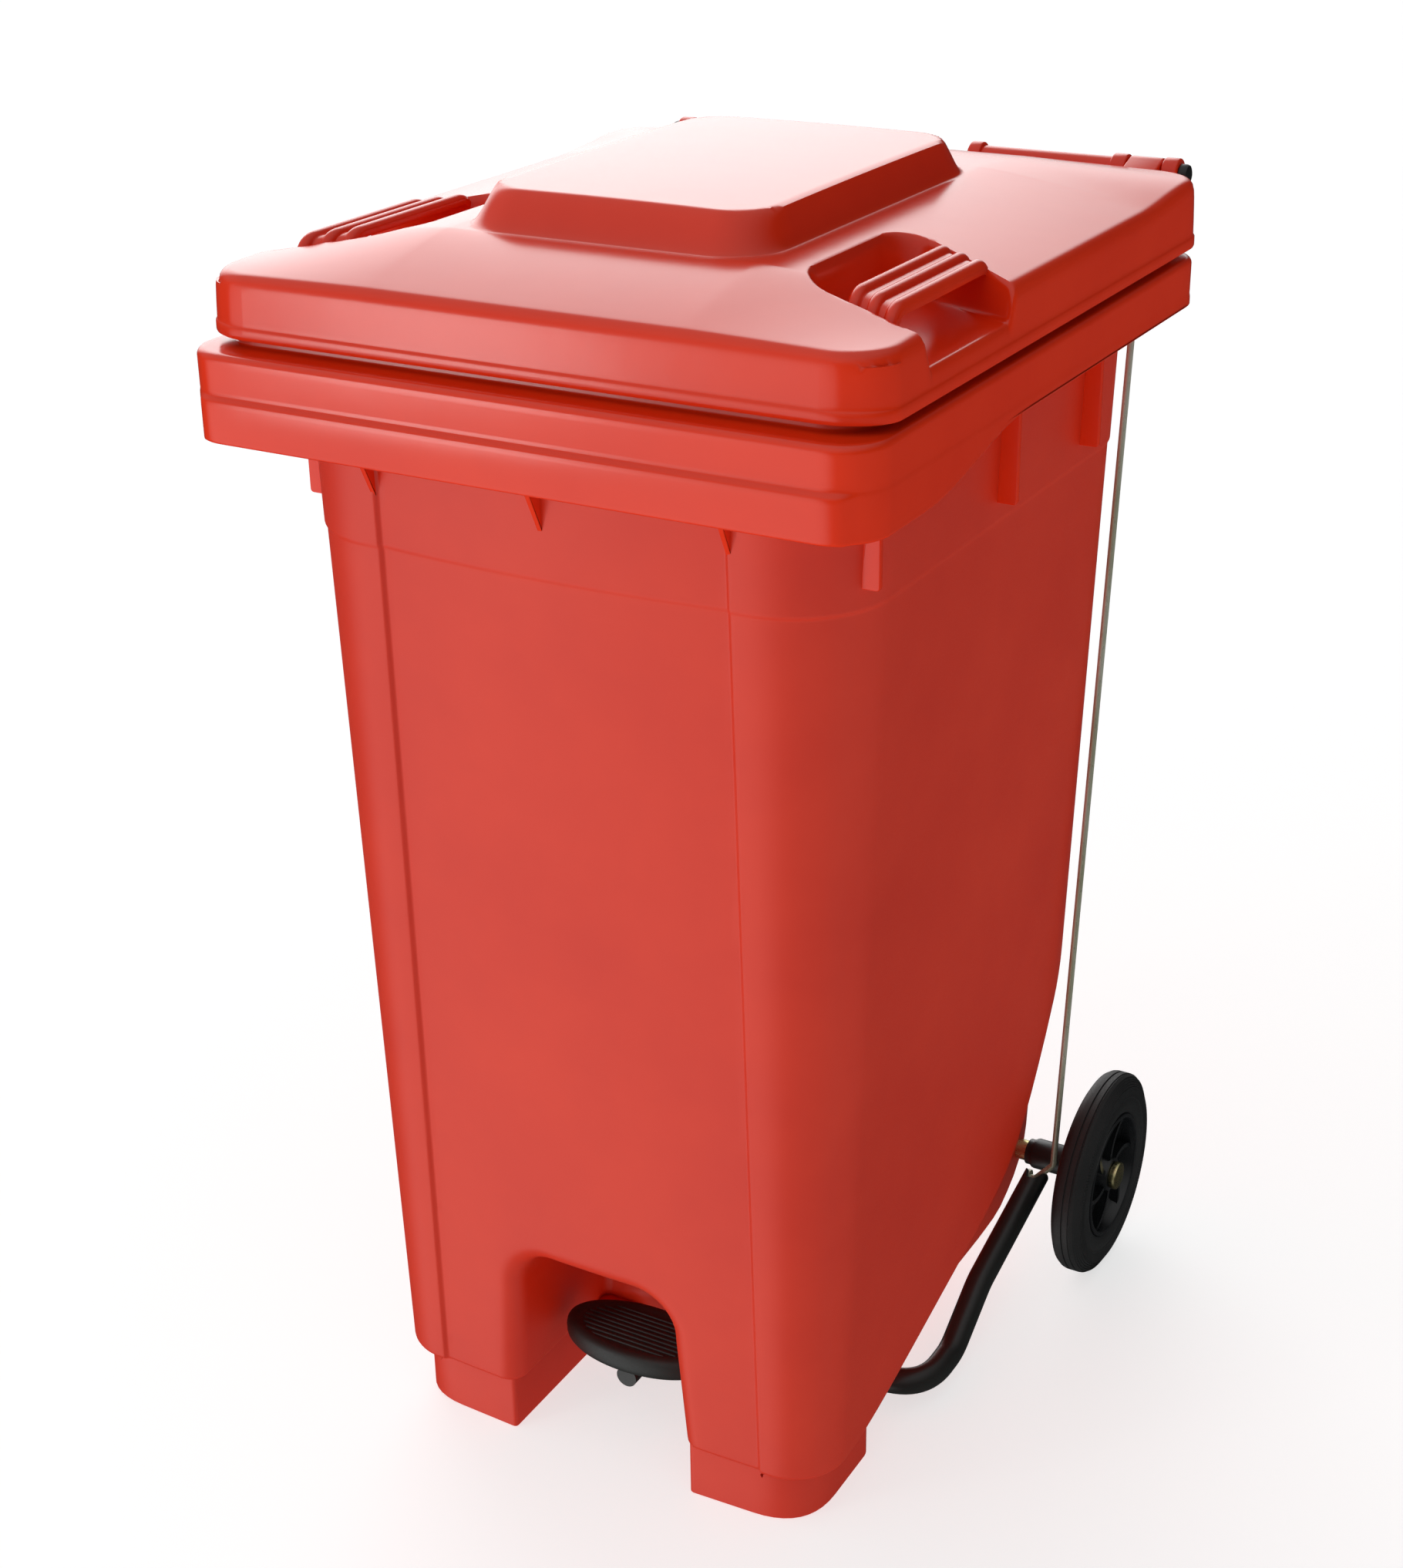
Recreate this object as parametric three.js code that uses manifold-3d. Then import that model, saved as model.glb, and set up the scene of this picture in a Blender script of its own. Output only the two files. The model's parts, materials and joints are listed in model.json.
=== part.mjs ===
// A wheeled pedal bin, 240 litre size: moulded bin and lid, two wheels on a through axle,
// and a bent tube lever whose rear end lifts a wire rod that pushes the lid open.
// Millimetres, +Z up, the front faces -Y, the floor is z = 0.

import * as THREE from 'three';
import { mergeVertices } from 'three/addons/utils/BufferGeometryUtils.js';
import Module from 'manifold-3d';

const wasm = await Module();
wasm.setup();

// ---- driving dimensions ----

const GAP = 0.3;                   // between pieces that touch
const WALL = 5;                    // moulded wall of the bin
const LID_WALL = 4;
const PANEL_STEP = 3;              // front panel set back behind the corner columns
const REAR_CORNER = 55;

const COLLAR_TOP = 993;
const COLLAR_HALF = 290;
const COLLAR_FRONT = -330;
const COLLAR_REAR = 320;
const COLLAR_CORNER = 38;
const COLLAR_DEPTH = 68;           // front skirt, top to bottom edge
const BAND = 3.5;                  // how far the skirt's lower front band stands out
const FLANGE = 5;
const SKIRT = 4;
const SEAL_HALF = 274;             // upstand that the lid closes over
const SEAL_FRONT = -300;
const SEAL_REAR = 312;
const SEAL_TOP = 1003;

const FLOOR_UNDER = 50;            // underside of the bin's floor
const BLOCK_HALF = 186;            // middle block that carries the axle
const NOTCH_HALF = 80;             // pedal recess
const NOTCH_TOP = 200;
const NOTCH_REAR = -100;
const NOTCH_CORNER = 38;
const FOOT_INNER = 90;
const FOOT_HALF = 204;
const FOOT_FRONT = -244;
const FOOT_REAR = -122;

const HINGE_Y = 365;
const HINGE_Z = 1045;
const HANDLE_RADIUS = 14;
const PIN_RADIUS = 6;
const LUG_RADIUS = 19;
const OUTER_LUG = [234, 248];
const KNUCKLE = [202, 233];
const INNER_LUG = [187, 201];
const END_LUG = [52, 64];

const LID_UNDER = 1000;
const LID_EDGE = 1047;
const LID_HALF = 288;
const LID_FRONT = -308;
const LID_REAR = 334;
const LID_CORNER = 46;
const POCKET_FLOOR = 1022;
const DOME_BASE = 1072;
const DOME_TOP = 1102;

const AXLE_Y = 250;
const AXLE_Z = 100;
const AXLE_RADIUS = 10;
const AXLE_HALF = 290;
const WHEEL_RADIUS = 100;
const TYRE_INNER = 62;
const TYRE_X = [256, 287];

const TUBE_RADIUS = 12;
const PIVOT_Y = -55;
const PIVOT_Z = 26;
const LEVER_X = 222;
const ROD_END_Y = 204;
const ROD_END_Z = 103;
const ROD_RADIUS = 3;
const ROD_TOP = [252, 266, 1031];
const ROD_TIP_Y = 290;
const TIP_RADIUS = 5;
const CHANNEL_ROOF = 1039;         // underside of the channel that the rod's tip pushes on
const CHANNEL_Y = [276, 299];
const GUIDE_SPOT = [251, 262];     // middle of the slot that the rod runs through
const GUIDE_SLOT = 4.8;
const GUIDE_REACH = 8;
const GUIDE_LIP = 2.5;
const BRACKET_X = 115;
const PAD_HALF = 74;
const PAD_DEPTH = 40;
const PAD_Y = -176;
const PAD_UNDER = 73;
const PAD_THICKNESS = 22;

const RED = { color: 0xd0240f, roughness: 0.42, metalness: 0 };
const BLACK_PLASTIC = { color: 0x151616, roughness: 0.5, metalness: 0 };
const BLACK_COAT = { color: 0x1a1b1a, roughness: 0.45, metalness: 0.2 };
const RUBBER = { color: 0x202122, roughness: 0.85, metalness: 0 };
const ZINC = { color: 0xb9b8a4, roughness: 0.38, metalness: 1 };
const YELLOW_ZINC = { color: 0xc9ae62, roughness: 0.35, metalness: 1 };

// ---- solids ----

function solid(geometry) {
  geometry.deleteAttribute('normal');
  geometry.deleteAttribute('uv');
  const merged = mergeVertices(geometry, 1e-4);
  return new wasm.Manifold(new wasm.Mesh({
    numProp: 3,
    vertProperties: new Float32Array(merged.attributes.position.array),
    triVerts: new Uint32Array(merged.index.array),
  }));
}

function join(...solids) {
  return solids.reduce((whole, next) => whole.add(next));
}

function mirrored(shape) {
  return shape.mirror([1, 0, 0]);
}

function bothSides(shape) {
  return shape.add(mirrored(shape));
}

function box(x, y, z) {
  const geometry = new THREE.BoxGeometry(x[1] - x[0], y[1] - y[0], z[1] - z[0]);
  geometry.translate((x[0] + x[1]) / 2, (y[0] + y[1]) / 2, (z[0] + z[1]) / 2);
  return solid(geometry);
}

// A cylinder along X between two ends.
function rodX(radius, x, y, z, sides = 28) {
  const geometry = new THREE.CylinderGeometry(radius, radius, x[1] - x[0], sides);
  geometry.rotateZ(Math.PI / 2);
  geometry.translate((x[0] + x[1]) / 2, y, z);
  return solid(geometry);
}

// A cylinder along Z between two heights.
function rodZ(radius, x, y, z, sides = 20) {
  const geometry = new THREE.CylinderGeometry(radius, radius, z[1] - z[0], sides);
  geometry.rotateX(Math.PI / 2);
  geometry.translate(x, y, (z[0] + z[1]) / 2);
  return solid(geometry);
}

// A profile of [radius, x] points turned about the wheel axle's line.
function turnedX(profile, sides = 40) {
  const points = profile.map(([radius, x]) => new THREE.Vector2(radius, x));
  const geometry = new THREE.LatheGeometry([...points, points[0].clone()], sides);
  geometry.rotateZ(-Math.PI / 2);
  geometry.translate(0, AXLE_Y, AXLE_Z);
  return solid(geometry);
}

// A side view outline of [y, z] points, given thickness along X.
function sideSlab(outline, x) {
  const shape = new THREE.Shape(outline.map(([y, z]) => new THREE.Vector2(y, z)));
  const geometry = new THREE.ExtrudeGeometry(shape, { depth: x[1] - x[0], bevelEnabled: false });
  geometry.rotateX(Math.PI / 2);
  geometry.rotateZ(Math.PI / 2);
  geometry.translate(x[0], 0, 0);
  return solid(geometry);
}

// A front view shape in x and z, given thickness along Y.
function frontSlab(shape, y) {
  const options = { depth: y[1] - y[0], bevelEnabled: false, curveSegments: 8 };
  const geometry = new THREE.ExtrudeGeometry(shape, options);
  geometry.rotateX(Math.PI / 2);
  geometry.translate(0, y[1], 0);
  return solid(geometry);
}

// A plan view shape in x and y, given height along Z.
function planSlab(shape, z, curveSegments = 10) {
  const geometry = new THREE.ExtrudeGeometry(shape, { depth: z[1] - z[0], bevelEnabled: false, curveSegments });
  geometry.translate(0, 0, z[0]);
  return solid(geometry);
}

// A round bar swept along a path in steps short enough for its bends; simplify drops the rest.
function sweep(radius, path, sides = 14) {
  const section = new THREE.Shape();
  section.absarc(0, 0, radius, 0, 2 * Math.PI);
  const geometry = new THREE.ExtrudeGeometry(section, {
    steps: Math.ceil(path.getLength() / (radius * 0.8)),
    bevelEnabled: false,
    extrudePath: path,
    curveSegments: sides / 2,
  });
  return solid(geometry).simplify(0.03);
}

// Straight runs joined by round bends: each middle point is [x, y, z, bend radius].
function bentPath(points) {
  const path = new THREE.CurvePath();
  const spots = points.map((p) => new THREE.Vector3(p[0], p[1], p[2]));
  let start = spots[0];
  for (let i = 1; i < spots.length - 1; i += 1) {
    const before = start.clone().sub(spots[i]).normalize();
    const after = spots[i + 1].clone().sub(spots[i]).normalize();
    const setback = points[i][3] / Math.tan(before.angleTo(after) / 2);
    const enter = spots[i].clone().addScaledVector(before, setback);
    const leave = spots[i].clone().addScaledVector(after, setback);
    path.add(new THREE.LineCurve3(start, enter));
    path.add(new THREE.QuadraticBezierCurve3(enter, spots[i], leave));
    start = leave;
  }
  path.add(new THREE.LineCurve3(start, spots[spots.length - 1]));
  return path;
}

// A closed skin through outlines stacked along Z that all have as many points, the lowest first.
function loft(levels) {
  const count = levels[0].points.length;
  const top = (levels.length - 1) * count;
  const faces = [];
  for (let start = 0; start < top; start += count) {
    for (let i = 0; i < count; i += 1) {
      const a = start + i;
      const b = start + ((i + 1) % count);
      faces.push(a, b, b + count, a, b + count, a + count);
    }
  }
  const capOf = ({ points }) => {
    const flat = points.map(([x, y]) => new THREE.Vector2(x, y));
    return THREE.ShapeUtils.triangulateShape(flat, []);
  };
  capOf(levels[0]).forEach(([a, b, c]) => faces.push(a, c, b));
  capOf(levels[levels.length - 1]).forEach(([a, b, c]) => faces.push(top + a, top + b, top + c));
  const positions = levels.flatMap(({ z, points }) => points.flatMap(([x, y]) => [x, y, z]));
  const geometry = new THREE.BufferGeometry();
  geometry.setAttribute('position', new THREE.Float32BufferAttribute(positions, 3));
  geometry.setIndex(faces);
  return solid(geometry);
}

// ---- outlines seen from above, counter-clockwise from the rear left ----

function arc(cx, cy, radius, from, to, steps) {
  return Array.from({ length: steps + 1 }, (_, i) => {
    const angle = from + ((to - from) * i) / steps;
    return [cx + radius * Math.cos(angle), cy + radius * Math.sin(angle)];
  });
}

// A rounded rectangle whose front edge may bow forwards between -panel and +panel.
function outline({ half, front, rear, frontRadius, rearRadius, panel = 0, step = 0, bow = 0, steps = 7 }) {
  const quarter = Math.PI / 2;
  const edge = [];
  if (panel) {
    edge.push([-panel - 1.5, front], [-panel + 1.5, front + step]);
    for (let i = 1; i < 8; i += 1) {
      const t = -1 + i / 4;
      edge.push([t * (panel - 1.5), front + step - bow * (1 - t * t)]);
    }
    edge.push([panel - 1.5, front + step], [panel + 1.5, front]);
  }
  return [
    ...arc(-half + rearRadius, rear - rearRadius, rearRadius, quarter, 2 * quarter, steps),
    ...arc(-half + frontRadius, front + frontRadius, frontRadius, 2 * quarter, 3 * quarter, steps),
    ...edge,
    ...arc(half - frontRadius, front + frontRadius, frontRadius, -quarter, 0, steps),
    ...arc(half - rearRadius, rear - rearRadius, rearRadius, 0, quarter, steps),
  ];
}

// ---- the bin ----

// Outline of the tapered wall at a height; inset moves it inwards.
function wallOutline(z, inset) {
  const rise = z - 51;
  return outline({
    half: 219.5 + 0.0308 * rise - inset,
    front: -252.5 - 0.0273 * rise + inset,
    rear: 267.5 + 0.0145 * rise - inset,
    frontRadius: 50 + 0.0365 * rise - inset,
    rearRadius: REAR_CORNER - inset,
    panel: 161.5 - 0.0104 * rise,
    step: PANEL_STEP,
    bow: 6 + 0.0035 * rise,
  });
}

function wallLoft(bottom, top, inset) {
  const heights = [bottom, 840, top];
  return loft(heights.map((z) => ({ z, points: wallOutline(z, inset) })));
}

// Lower and rear edge of the side cheeks, as [y, z].
function cheekOutline(dy, dz) {
  const rise = new THREE.SplineCurve([
    [-190, 51], [-108, 70], [-23, 97], [52, 121], [118, 146], [158, 182],
    [200, 260], [232, 342], [262, 432], [276, 520],
  ].map(([y, z]) => new THREE.Vector2(y, z)));
  const edge = rise.getPoints(26).map((p) => [p.x + dy, p.y + dz]);
  return [[-400, 51 + dz], ...edge, [400, 560], [400, 1050], [-400, 1050]];
}

// Underside of the middle block that carries the axle, as [y, z].
function blockOutline(dy, dz) {
  const edge = [
    [160, FLOOR_UNDER], [192, 53], [214, 58], [224, 69], [243, 77], [256, 92],
    [264, 106], [268, 130], [272, 300],
  ].map(([y, z]) => [y + dy, z + dz]);
  return [[-400, FLOOR_UNDER + dz], ...edge, [290 + dy, 600], [-400, 600]];
}

function bodyMass(inset) {
  const wall = wallLoft(40, COLLAR_TOP + (inset ? 20 : 0), inset);
  const cheeks = sideSlab(cheekOutline(-0.6 * inset, inset), [-320, 320]);
  const block = sideSlab(blockOutline(-inset, inset), [-BLOCK_HALF + inset, BLOCK_HALF - inset]);
  return wall.intersect(cheeks.add(block));
}

function foot(inset) {
  const radius = 42 - inset;
  const shape = new THREE.Shape();
  const inner = FOOT_INNER + inset;
  const outer = FOOT_HALF - inset;
  const front = FOOT_FRONT + inset;
  const rear = FOOT_REAR - inset;
  shape.moveTo(inner, rear);
  shape.lineTo(inner, front - 4);
  shape.lineTo(outer - radius, front);
  shape.absarc(outer - radius, front + radius, radius, -Math.PI / 2, 0);
  shape.lineTo(outer, rear);
  return bothSides(planSlab(shape, [inset, FLOOR_UNDER + 14]));
}

function notch(margin, rear) {
  const half = NOTCH_HALF + margin;
  const top = NOTCH_TOP + margin;
  const shape = new THREE.Shape();
  shape.moveTo(-half - 4, 20);
  shape.lineTo(half + 4, 20);
  shape.lineTo(half - 2, top - NOTCH_CORNER);
  shape.quadraticCurveTo(half - 3, top, half - NOTCH_CORNER - 4, top);
  shape.lineTo(-half + NOTCH_CORNER + 4, top);
  shape.quadraticCurveTo(-half + 3, top, -half + 2, top - NOTCH_CORNER);
  return frontSlab(shape, [-320, rear]);
}

function collar() {
  const around = (inset) => outline({
    half: COLLAR_HALF - inset,
    front: COLLAR_FRONT + inset,
    rear: COLLAR_REAR - inset,
    frontRadius: COLLAR_CORNER - inset,
    rearRadius: COLLAR_CORNER - inset,
  });
  const bottom = COLLAR_TOP - COLLAR_DEPTH;
  const outer = loft([
    { z: bottom, points: around(0) },
    { z: COLLAR_TOP - 4, points: around(0) },
    { z: COLLAR_TOP, points: around(3) },
  ]);
  const hollow = loft([
    { z: bottom - 5, points: around(SKIRT) },
    { z: COLLAR_TOP - FLANGE, points: around(SKIRT) },
  ]);
  const sideRise = new THREE.SplineCurve([
    [-240, 924], [-189, 931], [-123, 945], [-67, 951.5], [39, 952],
  ].map(([y, z]) => new THREE.Vector2(y, z))).getPoints(8);
  const belowOutline = [...sideRise.map((p) => [p.x, p.y]), [360, 957], [360, 900], [-240, 900]];
  const belowSides = sideSlab(belowOutline, [-320, 320]);
  const frontBand = box([-272, 272], [COLLAR_FRONT - BAND, COLLAR_FRONT + 2], [bottom, bottom + 34]);
  return outer.subtract(hollow).subtract(belowSides).add(frontBand);
}

function sealRing() {
  const ring = (inset) => outline({
    half: SEAL_HALF - inset,
    front: SEAL_FRONT + inset,
    rear: SEAL_REAR - inset,
    frontRadius: 40 - inset,
    rearRadius: 36 - inset,
    steps: 5,
  });
  const z = [COLLAR_TOP - 2, SEAL_TOP];
  const outer = loft(z.map((height) => ({ z: height, points: ring(0) })));
  const inner = loft([z[0] - 1, z[1] + 1].map((height) => ({ z: height, points: ring(4) })));
  return outer.subtract(inner);
}

// Stiffening plates in the hollow under the collar.
function collarPlates() {
  const top = COLLAR_TOP - 2;
  const frontPlates = [-155, 0, 155].map((x) => {
    const wallY = x ? -272 : -278;
    return sideSlab([[wallY, 870], [wallY - 27, 925], [wallY - 27, top], [wallY, top]], [x - 2, x + 2]);
  });
  const sidePlates = [-228, -6, 165].map((y) => {
    const reach = y < -200 ? 251 : 262;
    return bothSides(box([225, reach], [y - 3, y + 3], [859, top]));
  });
  const rearPlates = [-115, 115].map((x) => box([x - 2, x + 2], [272, 318], [930, top]));
  return join(...frontPlates, ...sidePlates, ...rearPlates);
}

// A hinge ear: a round end about the hinge line on a stem that rises from the collar.
function ear(x) {
  const stem = sideSlab([
    [COLLAR_REAR - 6, 958], [HINGE_Y - 16, 962], [HINGE_Y - 7, HINGE_Z - 50], [HINGE_Y - 7, HINGE_Z - 17],
    [HINGE_Y - 14, HINGE_Z - 10], [HINGE_Y - 24, HINGE_Z - 30], [HINGE_Y - 25, HINGE_Z - 48],
    [HINGE_Y - 30, COLLAR_TOP - 3], [COLLAR_REAR - 6, COLLAR_TOP - 4],
  ], x);
  return stem.add(rodX(LUG_RADIUS, x, HINGE_Y, HINGE_Z));
}

function rearHandles() {
  const ears = join(ear(OUTER_LUG), ear(INNER_LUG), ear(END_LUG));
  const bar = rodX(HANDLE_RADIUS, [END_LUG[1] - 1, INNER_LUG[0] + 1], HINGE_Y, HINGE_Z);
  const pinHole = rodX(PIN_RADIUS + GAP, [INNER_LUG[0] - 40, OUTER_LUG[1] + 1], HINGE_Y, HINGE_Z, 20);
  return bothSides(ears.add(bar).subtract(pinHole));
}

function makeBin() {
  const cavity = bodyMass(WALL).add(foot(WALL))
    .subtract(notch(WALL, NOTCH_REAR + WALL))
    .subtract(rodX(AXLE_RADIUS + 5, [-BLOCK_HALF, BLOCK_HALF], AXLE_Y, AXLE_Z));
  const outside = join(bodyMass(0), foot(0), collar(), sealRing(), collarPlates(),
    rodX(AXLE_RADIUS + 5, [-BLOCK_HALF, BLOCK_HALF], AXLE_Y, AXLE_Z));
  const rodSlot = planSlab(slotShape(GUIDE_LIP + GAP), [COLLAR_TOP - FLANGE - 1, COLLAR_TOP + 1]);
  const boltHoles = pivotBoltSpots().map(([x, y]) => rodZ(3.6, x, y, [FLOOR_UNDER - 2, FLOOR_UNDER + 8], 14));
  return outside.subtract(cavity)
    .subtract(notch(0, NOTCH_REAR))
    .subtract(rodX(AXLE_RADIUS + GAP, [-BLOCK_HALF - 1, BLOCK_HALF + 1], AXLE_Y, AXLE_Z))
    .subtract(rodSlot)
    .subtract(join(...boltHoles))
    .add(rearHandles());
}

// The guide's slot with round ends, long in Y; margin widens it all round.
function slotShape(margin) {
  const [x, y] = GUIDE_SPOT;
  const shape = new THREE.Shape();
  shape.absarc(x, y + GUIDE_REACH, GUIDE_SLOT + margin, 0, Math.PI);
  shape.absarc(x, y - GUIDE_REACH, GUIDE_SLOT + margin, Math.PI, 2 * Math.PI);
  return shape;
}

// ---- the lid ----

// Rings of the lid's skin from the skirt's edge to the top of the raised middle.
function lidLoft(inset) {
  const ring = (z, half, front, rear, radius) => ({
    z: z - (z > LID_UNDER ? inset : 0),
    points: outline({
      half: half - inset,
      front: front + inset,
      rear: rear - inset,
      frontRadius: radius,
      rearRadius: radius,
    }),
  });
  return loft([
    ring(LID_UNDER - (inset ? 2 : 0), LID_HALF, LID_FRONT, LID_REAR, LID_CORNER),
    ring(LID_EDGE - 6, LID_HALF - 3, LID_FRONT + 3, LID_REAR - 3, LID_CORNER),
    ring(LID_EDGE, LID_HALF - 8, LID_FRONT + 8, LID_REAR - 8, LID_CORNER),
    ring(1060, 215, -250, 270, 40),
    ring(DOME_BASE - 2, 150, -205, 212, 36),
    ring(DOME_BASE, 131.5, -188, 195, 32),
    ring(DOME_TOP, 121, -163.5, 177, 28),
  ]);
}

// Plan of the pocket under a lid grip, open at the side.
function pocket(margin, floor) {
  const shape = new THREE.Shape();
  const inner = 170 - margin;
  shape.moveTo(320, -90 + margin);
  shape.lineTo(320, -218 - margin);
  shape.lineTo(inner + 44, -208 - margin);
  shape.quadraticCurveTo(inner, -204 - margin, inner, -170 - margin);
  shape.lineTo(inner, -52 + margin);
  shape.quadraticCurveTo(inner + 4, -24 + margin, inner + 32, -34 + margin);
  shape.lineTo(285, -76 + margin);
  return planSlab(shape, [floor, 1120]);
}

// The finger bridge over a pocket: one plate with three beads along it and a leg at each end.
function grip() {
  const bead = (x) => {
    const shift = -0.35 * (x - 233);
    const top = 1063 - 0.14 * (x - 233);
    const arch = bentPath([
      [x, -208 + shift, 1034], [x, -206 + shift, top - 5, 12],
      [x, -52 + shift, top - 5, 12], [x, -50 + shift, 1034],
    ]);
    return sweep(5, arch, 10);
  };
  const shift = (x) => -0.35 * (x - 233);
  const plate = new THREE.Shape();
  plate.moveTo(214, -206 + shift(214));
  plate.lineTo(252, -206 + shift(252));
  plate.lineTo(252, -52 + shift(252));
  plate.lineTo(214, -52 + shift(214));
  const legs = [-206, -52].map((y) => box([215, 251], [y - 4, y + 4], [1030, 1059]));
  return join(planSlab(plate, [1053, 1058.5]), ...legs, ...[216, 233, 250].map(bead));
}

function lidKnuckle() {
  const barrel = rodX(LUG_RADIUS - 3, KNUCKLE, HINGE_Y, HINGE_Z);
  const arm = sideSlab([
    [LID_REAR - 8, HINGE_Z - 20], [HINGE_Y, HINGE_Z - 6], [HINGE_Y, HINGE_Z + 14], [LID_REAR - 10, HINGE_Z + 2],
  ], KNUCKLE);
  const hole = rodX(PIN_RADIUS + GAP, [KNUCKLE[0] - 1, KNUCKLE[1] + 1], HINGE_Y, HINGE_Z, 20);
  return barrel.add(arm).subtract(hole);
}

function makeLid() {
  const seat = box([ROD_TOP[0] - 18.5, ROD_TOP[0] + 18.5], CHANNEL_Y, [CHANNEL_ROOF + 2 + GAP, 1090]);
  const hollow = lidLoft(LID_WALL).subtract(bothSides(pocket(LID_WALL, POCKET_FLOOR - LID_WALL))).subtract(seat);
  const screwHoles = channelScrewSpots().map(([x, y]) => rodZ(2.8, x, y, [CHANNEL_ROOF, CHANNEL_ROOF + 10], 12));
  return lidLoft(0).subtract(hollow)
    .subtract(bothSides(pocket(0, POCKET_FLOOR)))
    .subtract(join(...screwHoles))
    .add(bothSides(grip()))
    .add(bothSides(lidKnuckle()));
}

// ---- hinge pins ----

function makeHingePin() {
  const shaft = rodX(PIN_RADIUS, [INNER_LUG[0] - 30, OUTER_LUG[1] + 2], HINGE_Y, HINGE_Z, 20);
  const head = rodX(9.5, [OUTER_LUG[1] + GAP, OUTER_LUG[1] + 9], HINGE_Y, HINGE_Z, 24);
  return shaft.add(head);
}

// ---- wheels ----

function makeAxle() {
  return rodX(AXLE_RADIUS, [-AXLE_HALF, AXLE_HALF], AXLE_Y, AXLE_Z, 32);
}

function makeTyre() {
  const [inside, outside] = TYRE_X;
  return turnedX([
    [TYRE_INNER, inside + 3], [TYRE_INNER + 8, inside], [88, inside], [96, inside + 3],
    [WHEEL_RADIUS, inside + 9], [WHEEL_RADIUS, outside - 9], [96, outside - 3], [88, outside],
    [TYRE_INNER + 8, outside], [TYRE_INNER, outside - 3],
  ], 48);
}

function makeHub() {
  const middle = (TYRE_X[0] + TYRE_X[1]) / 2;
  const rim = TYRE_INNER - GAP;
  const bore = AXLE_RADIUS + GAP;
  const body = turnedX([
    [bore, 252.5], [18, 252.5], [18, middle - 3], [rim - 6, middle - 3], [rim - 6, TYRE_X[0] + 1],
    [rim, TYRE_X[0] + 1], [rim, TYRE_X[1] - 1], [rim - 6, TYRE_X[1] - 1], [rim - 6, middle + 2],
    [18, middle + 2], [18, 284], [bore, 284],
  ]);
  const spokes = [];
  for (let i = 0; i < 6; i += 1) {
    const geometry = new THREE.BoxGeometry(24, rim - 20, 5);
    geometry.translate(middle, 15 + (rim - 20) / 2, 0);
    geometry.rotateX((i * Math.PI) / 3);
    geometry.translate(0, AXLE_Y, AXLE_Z);
    spokes.push(solid(geometry));
  }
  return join(body, ...spokes).subtract(rodX(bore, [250, 290], AXLE_Y, AXLE_Z, 40));
}

// Spacer tube on the axle between the bin and the wheel.
function makeSleeve() {
  const bore = AXLE_RADIUS + GAP;
  return turnedX([[bore, 196], [12.5, 196], [12.5, 201], [15, 204], [15, 251], [bore, 251]], 28);
}

// Push-on cap that keeps the wheel on.
function makeAxleCap() {
  const bore = AXLE_RADIUS + GAP;
  return turnedX([[bore, 285], [13.5, 285], [13.5, 290.5], [12, 292], [0, 292.5], [0, 290.3], [bore, 290.3]], 32);
}

// ---- pedal, lever and rod ----

function leverPath() {
  return bentPath([
    [LEVER_X, 176, 94.3],
    [LEVER_X, 72, 65, 60],
    [LEVER_X, 12, PIVOT_Z, 40],
    [LEVER_X, PIVOT_Y, PIVOT_Z, 44],
    [-150, PIVOT_Y, PIVOT_Z],
  ]);
}

function makeLever() {
  const tube = sweep(TUBE_RADIUS, leverPath(), 20);
  const tang = sideSlab([
    [168, 83], [186, 86], [ROD_END_Y + 3, 90], [ROD_END_Y + 12, 97], [ROD_END_Y + 13, 107], [ROD_END_Y + 6, 115],
    [188, 111], [166, 103],
  ], [LEVER_X - 5, LEVER_X + 5]);
  const hole = rodX(ROD_RADIUS + 1, [LEVER_X - 8, LEVER_X + 8], ROD_END_Y, ROD_END_Z, 16);
  return tube.add(tang).subtract(hole);
}

// Steel arm under the pad, welded to the lever's cross tube.
function makePedalArm() {
  const arm = sweep(10, bentPath([
    [0, PIVOT_Y, PIVOT_Z], [0, -104, 33, 30], [0, -148, PAD_UNDER - 13.5, 40], [0, PAD_Y - 26, PAD_UNDER - 13.5],
  ]), 16);
  const plate = planSlab(padShape(16), [PAD_UNDER - 4, PAD_UNDER - GAP]);
  const tubeSpace = rodX(TUBE_RADIUS + GAP, [-30, 30], PIVOT_Y, PIVOT_Z);
  const holes = padScrewSpots().map(([x, y]) => rodZ(2.8, x, y, [PAD_UNDER - 6, PAD_UNDER + 1], 12));
  return arm.add(plate).subtract(tubeSpace).subtract(join(...holes));
}

function padShape(inset) {
  const shape = new THREE.Shape();
  shape.absellipse(0, PAD_Y, PAD_HALF - inset, PAD_DEPTH - inset, 0, 2 * Math.PI);
  return shape;
}

function padScrewSpots() {
  return [[-32, PAD_Y], [32, PAD_Y]];
}

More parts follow.
